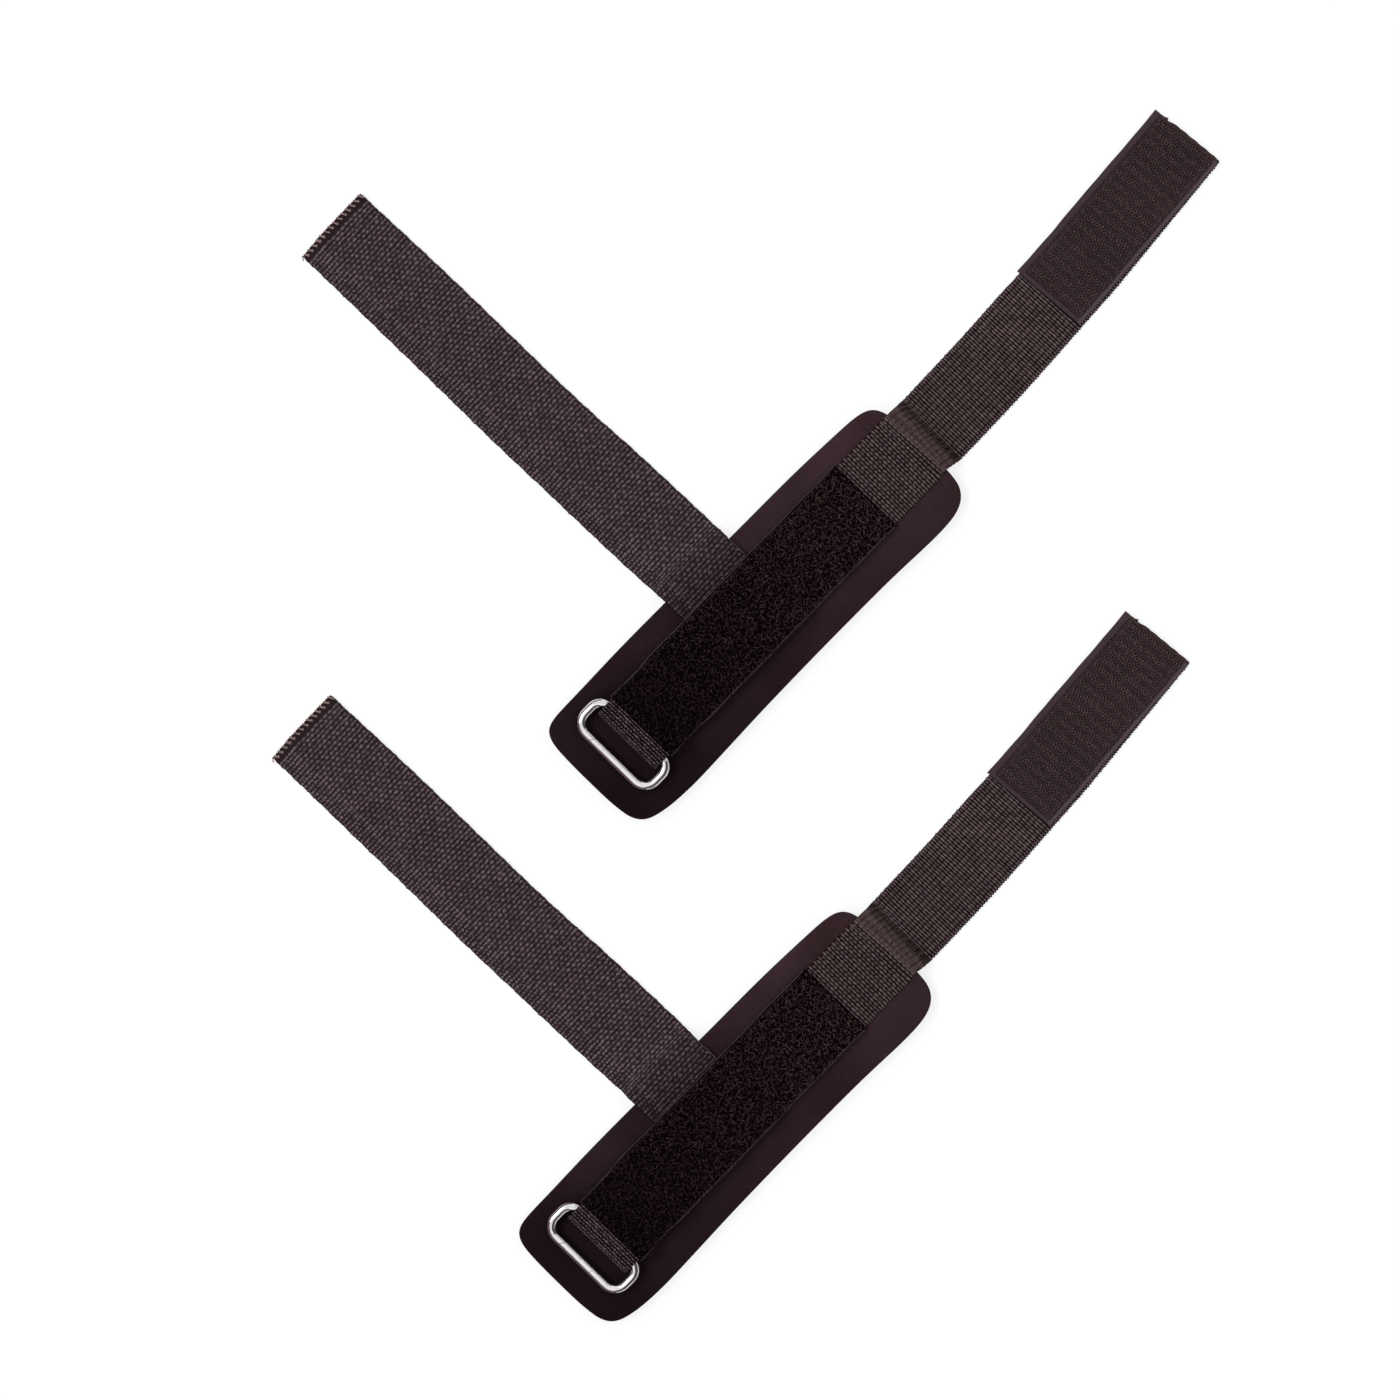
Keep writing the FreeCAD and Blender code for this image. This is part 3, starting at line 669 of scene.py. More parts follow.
def ground_finish(name, colour, faded, rib_scale, specular=0.04):
    """The tape under the yarns, seen only in the gaps and at its edges."""
    material, g, shader = new_material(name, Specular_IOR_Level=specular)
    place = own_place(g)
    toned = use_group(g, WORN_CLOTH, Place=place, Colour=colour, Faded=faded, Patch_size=70.0,
                      Fade=0.3, Flecks=0.3)
    uv = g.add("ShaderNodeUVMap", uv_map="UVMap")
    ribs = g.wave(uv, rib_scale, 0.8)
    # Ends of the painted light gradient along the cuff.
    low, high = 0.6, 1.1
    if name.startswith("hook"):
        toned = hook_field_shade(g, uv, toned)
        low, high = 1.0, 1.14
    if name.startswith("nylon"):
        toned = painted_fold_shade(g, toned)
    paint(g, shader, painted_light_tone(g, toned, low, high), g.spread(ribs, 0.0, 1.0, 0.9, 0.65),
          ribs + g.noise(place, 3000.0) * 0.6, 0.0001, 0.8)
    return material


def plated_wire_finish(side):
    """Nickel-plated wire: drawing lines that run round the ring with it, some grime, and painted shade along
    the wire's lower side.

    How far round the wire a place lies is worked out from its distance to the wire's middle
    line, a rounded rectangle in the ring's own tilted plane.
    """
    material, g, shader = new_material(f"{side}_nickel_plated_wire", Metallic=1.0)
    low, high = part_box(f"{side}_ring")
    middle = (low + high) / 2
    tilt = math.asin(((high.z - low.z) / MM - RING_WIRE) / (RING_DEPTH - RING_WIRE))
    place = own_place(g)
    level, y, raised = g.parts(g.vector("SUBTRACT", place, tuple(middle)))
    x = level * math.cos(tilt) + raised * math.sin(tilt)
    height = raised * math.cos(tilt) - level * math.sin(tilt)
    corner = g.between(g.math("GREATER_THAN", x, 0.0), RING_OUTER_CORNER * MM, RING_INNER_CORNER * MM)
    over_x = g.math("ABSOLUTE", x) - (RING_DEPTH - RING_WIRE) / 2 * MM + corner
    over_y = g.math("ABSOLUTE", y) - (RING_LENGTH - RING_WIRE) / 2 * MM + corner
    far_x = g.math("MAXIMUM", over_x, 0.0)
    far_y = g.math("MAXIMUM", over_y, 0.0)
    away = g.math("SQRT", far_x * far_x + far_y * far_y)
    inside = g.math("MINIMUM", g.math("MAXIMUM", over_x, over_y), 0.0)
    around = g.math("ARCTAN2", away + inside - corner, height)
    drawn = g.xyz(around * 2.2 + g.noise(place, 90.0, 2.0, 0.5) * 0.9, 0.0, 0.0)
    broad_lines = g.noise(drawn, 1.6, 2.0, 0.5)
    fine_lines = g.noise(drawn, 9.0, 3.0, 0.6)
    grime = g.noise(place, 420.0, 4.0, 0.6)
    spots = g.spread(grime, 0.56, 0.72)
    tone = g.mix(g.spread(broad_lines, 0.38, 0.62), srgb(250, 248, 248), srgb(205, 199, 201))
    tone = g.mix(g.spread(fine_lines, 0.52, 0.75) * 0.5, tone, srgb(120, 110, 113))
    # Painted shade: the lower side of the wire is darkened.
    tone = g.mix(g.spread(height, -0.0008, 0.0004, 0.6, 0.0), tone, srgb(90, 80, 82))
    tone = g.mix(spots * 0.3, tone, srgb(110, 98, 98))
    roughness = g.spread(fine_lines, 0.3, 0.8, 0.05, 0.12) + spots * 0.2
    paint(g, shader, tone, roughness, fine_lines + grime * 0.5, 0.00005, 0.5)
    return material


def thread_finish(name, colour, faded):
    """Sewing thread, two-ply, with a waxed glint."""
    material, g, shader = new_material(name, Specular_IOR_Level=0.1)
    place = own_place(g)
    ply = g.wave(place, 700.0, 1.0, "DIAGONAL")
    cloth = use_group(g, WORN_CLOTH, Place=place, Colour=colour, Faded=faded, Patch_size=160.0,
                      Fade=0.6, Flecks=0.2)
    paint(g, shader, g.mix(ply * 0.4, cloth, faded), g.spread(ply, 0.0, 1.0, 0.75, 0.5), ply, 0.00006, 0.7)
    return material


def cotton_finish(name, deep, lit, uneven, contrast):
    return yarn_finish(name, deep, lit, uneven, contrast, 6.0, specular=0.03, rough=0.75,
                       painted_shade_end=0.60, painted_light_end=1.12)


JERSEY_TOP = jersey_finish("jersey_outer", srgb(31, 19, 21), srgb(47, 34, 37))
JERSEY_SKIN = jersey_finish("jersey_skin_side", srgb(30, 20, 22), srgb(46, 35, 38))
FOAM = foam_finish()
# The nylon tape's ground is painted almost black, as the shade down in the gaps between the ribs.
NYLON_GROUND = ground_finish("nylon_tape_ground", srgb(20, 11, 12), srgb(30, 20, 21), 220.0)
NYLON_YARN = yarn_finish("nylon_rib_yarn", srgb(16, 7, 8), srgb(107, 91, 93), 0.55, 1.7, 8.0,
                         specular=0.04, painted_light_end=0.97)
NYLON_FOLD_YARN = yarn_finish("nylon_fold_yarn", srgb(16, 7, 8), srgb(118, 101, 105), 0.8, 1.8, 8.0,
                              specular=0.04, painted_shade_end=0.75, painted_light_end=1.0)
NYLON_GATHERS = gathers_finish()
# The cotton tape's ground is painted dark, as the shade between the knots.
COTTON_GROUND = ground_finish("cotton_tape_ground", srgb(36, 26, 29), srgb(48, 38, 41), 160.0)
COTTON_YARN = cotton_finish("cotton_warp_yarn", srgb(24, 15, 20), srgb(97, 83, 91), 0.55, 1.6)
# The weft's lit colour is a darker copy of the warp's, painted shade where the weft lies sunk between the
# warp knots.
COTTON_WEFT = cotton_finish("cotton_weft_yarn", srgb(24, 15, 20), srgb(74, 61, 68), 0.7, 1.5)
COTTON_EDGE = cotton_finish("cotton_edge_yarn", srgb(28, 19, 24), srgb(94, 81, 87), 0.8, 1.4)
# The pile tape's ground is painted nearly black, as the shade under the pile.
LOOP_GROUND_FINISH = ground_finish("loop_tape_ground", srgb(7, 2, 2), srgb(16, 9, 10), 300.0, 0.02)
PILE_THREAD = yarn_finish("loop_pile_thread", srgb(2, 1, 1), srgb(66, 48, 51), 1.8, 2.6, 5.0,
                          specular=0.025, rough=0.45, painted_shade_end=0.26, painted_light_end=1.40)
HOOK_GROUND_FINISH = ground_finish("hook_tape_ground", srgb(58, 46, 49), srgb(68, 56, 61), 60.0, 0.06)
HOOK_THREAD = yarn_finish("hook_monofilament", srgb(16, 8, 11), srgb(90, 73, 75), 0.6, 1.6, 3.0,
                          rough=0.4, painted_shade_end=1.0, painted_light_end=1.15)
HOOK_RIB = yarn_finish("hook_tape_rib", srgb(16, 8, 10), srgb(81, 65, 68), 0.5, 1.4, 3.0,
                       rough=0.5, painted_shade_end=1.0, painted_light_end=1.15)
SEAM_THREAD = thread_finish("black_sewing_thread", srgb(34, 24, 26), srgb(66, 54, 56))
SELVEDGE = thread_finish("selvedge_cord", srgb(52, 40, 43), srgb(84, 70, 73))
FRAYED_YARN = thread_finish("frayed_yarn_ends", srgb(54, 40, 37), srgb(92, 76, 70))
LINT = thread_finish("cotton_lint", srgb(110, 96, 104), srgb(170, 158, 162))
OVERLOCK_THREAD = thread_finish("brown_overlock_thread", srgb(124, 103, 98), srgb(164, 142, 134))


# ---------------------------------------------------------------- mesh helpers

def eased(table, at):
    """A smooth curve through a table of places and values that never swings past them."""
    places, values = (np.array(column, float) for column in zip(*table))
    rates = np.diff(values) / np.diff(places)
    slopes = np.concatenate([rates[:1], np.zeros(len(rates) - 1), rates[-1:]])
    agree = rates[:-1] * rates[1:] > 0
    total = np.where(agree, rates[:-1] + rates[1:], 1.0)
    slopes[1:-1] = np.where(agree, 2 * rates[:-1] * rates[1:] / total, 0.0)
    at = np.clip(np.asarray(at, float), places[0], places[-1])
    part = np.clip(np.searchsorted(places, at, side="right") - 1, 0, len(places) - 2)
    gap = places[part + 1] - places[part]
    t = (at - places[part]) / gap
    return ((2 * t**3 - 3 * t**2 + 1) * values[part] + (t**3 - 2 * t**2 + t) * gap * slopes[part]
            + (3 * t**2 - 2 * t**3) * values[part + 1] + (t**3 - t**2) * gap * slopes[part + 1])


def new_piece(name, points, faces, finish):
    """A mesh piece with smooth shading. Points are in metres, in the frame."""
    mesh = bpy.data.meshes.new(name)
    mesh.from_pydata(np.asarray(points, float).tolist(), [], [list(f) for f in faces])
    mesh.polygons.foreach_set("use_smooth", [True] * len(mesh.polygons))
    mesh.materials.append(finish)
    mesh.update()
    return shown(name, mesh)


class Route:
    """Middle line of a strap seen from its side: level runs, easy steps and a fold."""

    def __init__(self, along, height, layer=0.0):
        self.points = [(along, height)]
        self.layer = layer

    def level(self, to):
        along, height = self.points[-1]
        count = max(1, int(abs(to - along) / 0.8))
        self.points += [(along + (to - along) * n / count, height) for n in range(1, count + 1)]
        return self

    def _arc(self, x, z, radius, start, end):
        count = max(4, int(abs(end - start) * radius / 0.5))
        for angle in np.linspace(start, end, count + 1)[1:]:
            self.points.append((x + radius * math.cos(angle), z + radius * math.sin(angle)))

    def step(self, run, rise):
        """A smooth change of height by two opposite arcs; a negative rise goes down."""
        along, height = self.points[-1]
        size = abs(rise)
        bend = (run**2 + size**2) / (4 * size)
        turn = 2 * math.atan2(size, run)
        outer, inner = bend + self.layer, bend - self.layer
        quarter = math.pi / 2
        if rise < 0:
            self._arc(along, height - outer, outer, quarter, quarter - turn)
            self._arc(along + run, height + rise + inner, inner, -quarter - turn, -quarter)
        else:
            self._arc(along, height + inner, inner, -quarter, -quarter + turn)
            self._arc(along + run, height + rise - outer, outer, quarter + turn, quarter)
        return self

    def fold_back(self, bend):
        """Half a turn, from running towards -X below to running towards +X above."""
        along, height = self.points[-1]
        self._arc(along, height + bend, bend, -math.pi / 2, -3 * math.pi / 2)
        return self

    def line(self):
        points = np.array(self.points)
        gaps = np.hypot(*np.diff(points, axis=0).T)
        return points, np.concatenate([[0.0], np.cumsum(gaps)])


class Lay:
    """A strap's middle line in space: its place, side and up direction at any length.

    The route gives its height along the strap, and drift how far it lies to the side there.
    """

    def __init__(self, route, drift, runs_along_x=True):
        self.flat, self.length = route.line()
        self.drift = drift
        self.runs_along_x = runs_along_x

    def along(self, s):
        """How far along its way a length of strap reaches."""
        return np.interp(s, self.length, self.flat[:, 0])

    def at(self, s):
        s = np.asarray(s, float)
        ahead = np.clip(s + 0.25, 0, self.length[-1])
        behind = np.clip(s - 0.25, 0, self.length[-1])

        def spot(place):
            along = self.along(place)
            height = np.interp(place, self.length, self.flat[:, 1])
            side = eased(self.drift, along)
            if self.runs_along_x:
                return np.stack([along, side, height], -1)
            return np.stack([side, along, height], -1)

        heading = spot(ahead) - spot(behind)
        heading /= np.linalg.norm(heading, axis=-1, keepdims=True)
        plan = np.stack([-heading[..., 2], np.zeros_like(s), heading[..., 0]], -1)
        if not self.runs_along_x:
            plan = np.stack([np.zeros_like(s), -heading[..., 2], heading[..., 1]], -1)
        side = np.cross(plan, heading)
        side /= np.linalg.norm(side, axis=-1, keepdims=True)
        up = np.cross(heading, side)
        return spot(s), side, up

    def where(self, along, after=0.0):
        """Length along the strap at which it first passes a place, from some length on."""
        beyond = self.length >= after
        places, lengths = self.flat[beyond, 0], self.length[beyond]
        passes = np.nonzero((places[:-1] - along) * (places[1:] - along) <= 0)[0]
        if not len(passes):
            return float(lengths[-1])
        n = passes[0]
        share = (along - places[n]) / (places[n + 1] - places[n])
        return float(lengths[n] + share * (lengths[n + 1] - lengths[n]))


def in_frame(points, centre):
    """From pad millimetres to metres in the frame."""
    return (np.asarray(points, float) + np.asarray(centre, float)) * MM


def lay_tape(name, lay, centre, start, end, half, thickness, finish, lift=0.0, shift=None,
             begin=None, cut=None, edge=0.35, curl=0.0, pitch=1.0, columns=14, wrinkle=None,
             plain_half=None, count_from=0.0):
    """A closed flat tape along a lay, with a UV map in metres: top face, then bottom face.

    half and shift give its half width and its place to the side by the length along the lay.
    begin and cut give how much further each place across reaches at the near and far end, over
    their last 10 mm, curl lifts its long edges, and wrinkle gives how far the cloth stands off
    its lay by the place along and across. The UV map counts the length from count_from, and the
    width as if the tape were plain_half to each side all along.
    """
    count = max(2, int(round((end - start) / pitch)))
    s = np.linspace(start, end, count + 1)
    place, side, up = lay.at(s)
    reach = half(s)
    slide = np.zeros_like(s) if shift is None else shift(s)
    h = thickness / 2
    share = np.linspace(-1.0, 1.0, columns)
    rows = []
    for level, order in ((h, share), (None, 1.0), (-h, share[::-1]), (None, -1.0)):
        for x in np.atleast_1d(order):
            if level is None:
                across, out = x * reach, np.zeros_like(s)
            else:
                across, out = x * (reach - edge), np.full_like(s, level)
                out = out * (1.0 - 0.35 * (abs(x) > 0.999))
            out = out + lift + curl * np.clip((abs(x) - 0.86) / 0.14, 0, 1) ** 2
            rows.append((across, out))
    around = len(rows)
    across = np.stack([r[0] for r in rows], 1)
    out = np.stack([r[1] for r in rows], 1)
    if wrinkle is not None:
        out = out + wrinkle(place[:, :1], across)
    points = place[:, None] + side[:, None] * (across + slide[:, None])[..., None]
    points = points + up[:, None] * out[..., None]
    heading = np.cross(side, up)
    for reaching, nearness in ((begin, (start + 10.0 - s) / 10.0), (cut, (s - (end - 10.0)) / 10.0)):
        if reaching is not None:
            fade = np.clip(nearness, 0, 1)
            points += heading[:, None] * (fade[:, None] * reaching(across))[..., None]
    faces = []
    for i in range(count):
        near, far = i * around, (i + 1) * around
        for k in range(around):
            beside = (k + 1) % around
            faces.append((near + k, far + k, far + beside, near + beside))
    for base, far_end in ((0, False), (count * around, True)):
        last = base + around - 2
        ladder = [(base + k, base + k + 1, last - k - 1, last - k) for k in range(columns - 1)]
        ladder.append((base + columns - 1, base + columns, base + columns + 1))
        ladder.append((last, last + 1, base))
        faces += [f[::-1] if far_end else f for f in ladder]
    piece = new_piece(name, in_frame(points.reshape(-1, 3), centre), faces, finish)
    smooth = [True] * (count * around) + [False] * (len(faces) - count * around)
    piece.data.polygons.foreach_set("use_smooth", smooth)
    evened = 1.0 if plain_half is None else (plain_half / reach)[:, None]
    flat_u = np.repeat(s - count_from, around) * MM
    flat_v = (across * evened).reshape(-1) * MM
    layer = piece.data.uv_layers.new(name="UVMap")
    corners = np.zeros(len(piece.data.loops), np.int64)
    piece.data.loops.foreach_get("vertex_index", corners)
    under = np.repeat([all(v % around >= columns for v in f) for f in faces], [len(f) for f in faces])
    uv = np.stack([flat_u[corners], flat_v[corners] + np.where(under, UNDER_FACE * MM, 0.0)], 1)
    layer.data.foreach_set("uv", uv.astype(np.float32).ravel())
    return piece


def tube(name, paths, centre, radius, finish, sides=5):
    """Threads: round tubes along several paths in pad millimetres, joined in one mesh."""
    points, faces = [], []
    for path in paths:
        path = np.asarray(path, float)
        heading = np.gradient(path, axis=0)
        heading /= np.linalg.norm(heading, axis=1, keepdims=True)
        guide = np.where(np.abs(heading[:, 2:3]) > 0.9, [[1.0, 0.0, 0.0]], [[0.0, 0.0, 1.0]])
        side = np.cross(heading, guide)
        side /= np.linalg.norm(side, axis=1, keepdims=True)
        up = np.cross(side, heading)
        base = len(points)
        for k in range(len(path)):
            for n in range(sides):
                angle = 2 * math.pi * n / sides
                points.append(path[k] + radius * (side[k] * math.cos(angle) + up[k] * math.sin(angle)))
        for k in range(len(path) - 1):
            for n in range(sides):
                a, b = base + k * sides + n, base + k * sides + (n + 1) % sides
                faces.append((a, b, b + sides, a + sides))
        faces.append([base + n for n in range(sides)][::-1])
        faces.append([base + (len(path) - 1) * sides + n for n in range(sides)])
    return new_piece(name, in_frame(points, centre), faces, finish)


def smooth_loop(points, count):
    """Points spaced evenly along a smooth closed curve through the given ones."""
    given = np.array(points, float)
    before, after, beyond = np.roll(given, 1, 0), np.roll(given, -1, 0), np.roll(given, -2, 0)
    t = np.linspace(0, 1, 24, endpoint=False)[None, :, None]
    a, b, c, d = (p[:, None] for p in (before, given, after, beyond))
    fine = 2 * b + (c - a) * t + (2 * a - 5 * b + 4 * c - d) * t**2 + (3 * b - a - 3 * c + d) * t**3
    fine = (0.5 * fine).reshape(-1, 2)
    ring = np.vstack([fine, fine[:1]])
    length = np.concatenate([[0], np.cumsum(np.hypot(*np.diff(ring, axis=0).T))])
    at = np.linspace(0, length[-1], count, endpoint=False)
    even = np.stack([np.interp(at, length, ring[:, 0]), np.interp(at, length, ring[:, 1])], 1)
    for _ in range(4):
        even = 0.5 * even + 0.25 * (np.roll(even, 1, 0) + np.roll(even, -1, 0))
    return even


PAD_RIM = smooth_loop(PAD_OUTLINE, 360)
PAD_SPINE = np.stack([np.clip(PAD_RIM[:, 0], -64.0, 64.0), np.zeros(len(PAD_RIM))], 1)


def pad_layer(name, centre, wall, top_wave, bottom_wave, finish):
    """One layer of the pad: its cut wall, and its two faces with a soft swell.

    wall is the wall's height and how far it stands in from the outline, from the bottom up.
    """
    inward = PAD_SPINE - PAD_RIM
    reach = np.linalg.norm(inward, axis=1, keepdims=True)
    shares = (0.05, 0.1, 0.18, 0.28, 0.4, 0.52, 0.64, 0.76, 0.88, 0.95)
    rings = []

    def face(height, inset, wave, order):
        for share in order:
            at = inset / reach + (1 - inset / reach) * share
            flat = PAD_RIM + inward * at
            swell = wave(flat[:, 0], flat[:, 1]) * min(1.0, share / 0.1)
            rings.append(np.column_stack([flat, height + swell]))

    face(wall[0][0], wall[0][1], bottom_wave, shares[::-1])
    for height, inset in wall:
        flat = PAD_RIM + inward * (inset / reach)
        rings.append(np.column_stack([flat, np.full(len(flat), height)]))
    face(wall[-1][0], wall[-1][1], top_wave, shares)
    around = len(PAD_RIM)
    last = (len(rings) - 1) * around
    faces = [list(range(around))[::-1]]
    for base in range(0, last, around):
        for k in range(around):
            beside = (k + 1) % around
            faces.append((base + k, base + beside, base + around + beside, base + around + k))
    faces.append([last + k for k in range(around)])
    return new_piece(name, in_frame(np.vstack(rings), centre), faces, finish)


def soft_swell(x, y):
    """The gentle unevenness of a foam pad that has been rolled up and laid flat again."""
    return (0.10 * np.sin(x / 19.0 + 0.7) * np.cos(y / 14.0) + 0.07 * np.sin(x / 8.3 + y / 9.1)
            - 0.06 * np.exp(-((np.abs(y - STRAP_SIDE) - 21.0) / 3.0) ** 2) - 0.16)


def flat(x, y):
    return np.zeros_like(x)


# ---------------------------------------------------------------- the pieces of one cuff


def make_pad(side, centre):
    """Foam core with a knitted facing on each side."""
    core = pad_layer(f"{side}_pad_foam", centre,
                     [(0.5, 0.35), (1.5, 0.12), (2.6, 0.05), (3.6, 0.15), (4.48, 0.4)],
                     soft_swell, flat, FOAM)
    lower = pad_layer(f"{side}_pad_jersey_skin_side", centre,
                      [(0.0, 0.75), (0.12, 0.45), (0.32, 0.3), (0.5, 0.32)], flat, flat, JERSEY_SKIN)
    upper = pad_layer(f"{side}_pad_jersey_outer", centre,
                      [(4.5, 0.38), (4.62, 0.36), (4.85, 0.5), (PAD_TOP, 0.95)],
                      soft_swell, soft_swell, JERSEY_TOP)
    for piece, node, slot in ((core, "pad_core", "foam"), (lower, "pad_bottom_facing", "jersey"),
                              (upper, "pad_top_facing", "jersey")):
        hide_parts(f"{side}_{node}")
        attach(piece, f"{side}_pad")
    return [core, lower, upper]


def webbing_route():
    route = Route(FOLD_FIRST_X, PAD_TOP + WEBBING / 2, WEBBING / 2)
    route.level(FOLD_X).fold_back(FOLD_BEND).level(RING_STEP_X)
    route.step(RING_STEP_RUN, -RING_STEP_DROP).level(HUMP_UP_X)
    route.step(HUMP_RUN, HUMP_UP).level(HUMP_DOWN_X)
    route.step(HUMP_RUN, -HUMP_DOWN).level(TAIL_STEP_X)
    route.step(STEP_RUN, -PAD_TOP).level(TIP_X)
    return route


def gather_wave(x, y):
    """The gathers as the webbing leaves the pad: their waves, and how far they are folded."""
    wander = 0.35 * np.sin(y / 3.1) + 0.2 * np.sin(y * 0.9 + 1.0)
    slant = 0.22 * np.clip(x - 106.0, 0, 9)
    wave = np.cos(2 * math.pi * (y + wander + slant) / 2.65)
    return wave, np.clip((x - 105.5) / 7.0, 0, 1)


def gathered(x, y):
    """Height of the gathered cloth: swollen cells first, then slanting folds."""
    wave, folded = gather_wave(x, y)
    rise = np.clip((x - 102.4) / 3.0, 0, 1) * np.clip((114.3 - x) / 0.9, 0, 1)
    rows = 0.04 * (1.0 - folded) * np.cos(2 * math.pi * (x - 103.4) / 1.45)
    return rise * (0.23 + rows + (0.07 + 0.17 * folded) * wave)


def pinch(x, y):
    """How deep in a gather a place lies, from 0 on its crest to 1 at its bottom; it sets the painted shade
    in the gathers.
    """
    wave, folded = gather_wave(x, y)
    uneven = 0.8 + 0.2 * np.sin(y * 1.3 + 0.4 * x)
    seam = 0.75 * np.clip((-wave - 0.5) / 0.5, 0, 1)
    fold = np.clip(folded * 1.4, 0, 1) * np.clip((folded - 0.65 - wave) / 1.0, 0, 1)
    here = np.clip((x - 102.4) / 0.8, 0, 1) * np.clip((114.4 - x) / 0.6, 0, 1)
    return np.clip(uneven * here * np.maximum(seam, fold), 0, 1)


def even_rows(start, end, pitch):
    """The nearest place to an end that leaves a whole even number of rows after a start."""
    return start + 2 * pitch * round((end - start) / (2 * pitch))


# One rib of the nylon webbing, and what changes for the plainer ribs of its underside.
RIB = dict(Row_pitch=RIB_PITCH, Stitch_pitch=2.65, Length=2.75, Width=1.12, Height=0.42, Sink=0.10,
           Margin=1.2, Low=-RIB_REACH, High=RIB_REACH, Place_jitter=0.07, Odd_width=0.86,
           Odd_height=0.92, Odd_offset=0.06, Turn=math.pi / 2, Turn_jitter=0.07, Size_jitter=0.08)
UNDER = dict(Face=UNDER_FACE, Around=5, Along=4)


def make_webbing(side, centre):
    """The ribbed nylon tape in two lengths: ring fold to mid-tail, and mid-tail to its tip."""
    lay = Lay(webbing_route(), WEBBING_DRIFT)
    fold = lay.where(FOLD_X)
    over = fold + math.pi * FOLD_BEND - 0.1
    tail_start = lay.where(TAIL_FROM_X, over)
    split = even_rows(tail_start, lay.where(WEBBING_SPLIT_X, over), RIB_PITCH)
    tip = lay.length[-1]

    def half(s):
        usual = eased(WEBBING_HALF, lay.along(s)) - 0.35
        return usual + 0.04 * np.sin(s * 2.1) + 0.04 * np.sin(s * 0.93 + 1.0)

    def tip_cut(across):
        return 0.10 * np.sin(across * 2.3 + 1.0) - 0.4 - 0.5 * np.clip((across - 6.0) / 4.0, 0, 1)

    def ribs(strap, label, seed, start, finish, yarn=NYLON_YARN, **own):
        return grow(LAID_YARNS, strap, f"{side}_webbing_{label}", yarn, Seed=seed,
                    From=start, To=finish, **{**RIB, **own})

    root = lay_tape(f"{side}_webbing_root", lay, centre, 0.0, split, half, WEBBING_GROUND,
                    NYLON_GROUND, columns=24, plain_half=RIB_REACH - 0.35)
    end = lay_tape(f"{side}_webbing_tip", lay, centre, split, tip, half, WEBBING_GROUND,
                   NYLON_GROUND, cut=tip_cut, plain_half=RIB_REACH - 0.35)
    loop_start = lay.where(LOOP_FROM_X, over)
    loop_end = lay.where(LOOP_TO_X, over)
    hook_start = lay.where(HOOK_FROM_X, over)
    pinched_from = lay.where(GATHERS_FROM_X, over)
    pad_rows = even_rows(pinched_from, loop_end - 1.0, PAD_RIB_PITCH)
    under_from = even_rows(split, lay.where(102.0, over), RIB_PITCH)
    on_root = [
        ribs(root, "ribs_ring", 11, fold + 0.4, loop_start + 0.8, NYLON_FOLD_YARN, Row_pitch=1.36,
             Stitch_pitch=1.75, Length=1.7, Width=0.92, Size_jitter=0.22, Turn_jitter=0.14,
             Place_jitter=0.12, Margin=0.8, Odd_offset=0.4),
        ribs(root, "ribs_pad", 12, pad_rows, pinched_from, Row_pitch=PAD_RIB_PITCH, Width=1.26,
             Odd_width=0.80, Odd_offset=0.25),
        lay_tape(f"{side}_webbing_gathers", lay, centre, pinched_from - 3.0, tail_start + 0.4,
                 lambda s: half(s) + 0.25, 0.5, NYLON_GATHERS, lift=0.2, columns=150, pitch=0.3,
                 wrinkle=gathered),
        ribs(root, "ribs_tail_start", 15, tail_start, split, Length=2.9),
        ribs(root, "ribs_under_pad_end", 16, under_from, split, **UNDER),
    ]
    on_end = [
        ribs(end, "ribs_tail", 17, split, hook_start + 0.8, Length=2.9),
        ribs(end, "ribs_selvedge", 18, hook_start, tip - 0.4, High=-15.6),
        ribs(end, "ribs_under_tail", 19, split, tip - 0.4, **UNDER),
        frayed_end(f"{side}_webbing_fray", centre, lay, tip, half, tip_cut),
    ]
    split * MM
    (tip - split) * MM
    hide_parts(f"{side}_cuff_webbing_fixed", f"{side}_cuff_webbing_tail")
    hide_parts(f"{side}_cuff_webbing_end")
    for piece in [root] + on_root:
        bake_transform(piece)
    for piece in [end] + on_end:
        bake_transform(piece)
    return lay, over, [root, end] + on_root + on_end


def end_of(lay, s):
    """Where a strap is at a length, and its directions there: across, up and ahead."""
    spot, across, up = (found[0] for found in lay.at(np.array([s])))
    return spot, across, up, np.cross(across, up)


def value_at(line, place):
    return float(line(np.array([place]))[0])


def frayed_end(name, centre, lay, tip, half, cut):
    """Loose ends of yarn along a cut end, longer towards one corner."""
    rng = np.random.default_rng(51)
    reach = value_at(half, tip) - 0.6
    spot, across, up, ahead = end_of(lay, tip)
    paths = []
    for _ in range(90):
        t = rng.uniform(-reach, reach)
        long = rng.uniform(0.0, 0.3) + 0.8 * math.exp(-((t - 11.5) / 1.0) ** 2)
        level = rng.uniform(-0.35, 0.45)
        start = spot + across * t + up * level + ahead * (value_at(cut, t) - 0.8)
        bend = across * rng.uniform(-0.3, 0.3) + up * rng.uniform(-0.05, 0.2)
        steps = ((0.4, 0.2), (0.8, 0.7), (1.0, 1.0))
        path = [start] + [start + ahead * (0.8 + share * long) + bend * bent for share, bent in steps]
        paths.append(refine(path, 1))
    return tube(name, paths, centre, 0.09, FRAYED_YARN, sides=4)


def sewn_seam(tape, name, seed, at, start, end, **own):
    """A row of stitches along a tape."""
    return grow(LAID_YARNS, tape, name, SEAM_THREAD, Seed=seed, From=start, To=end, Low=at - 0.3,
                High=at + 0.3, Stitch_pitch=0.6, Margin=0.3, **own)


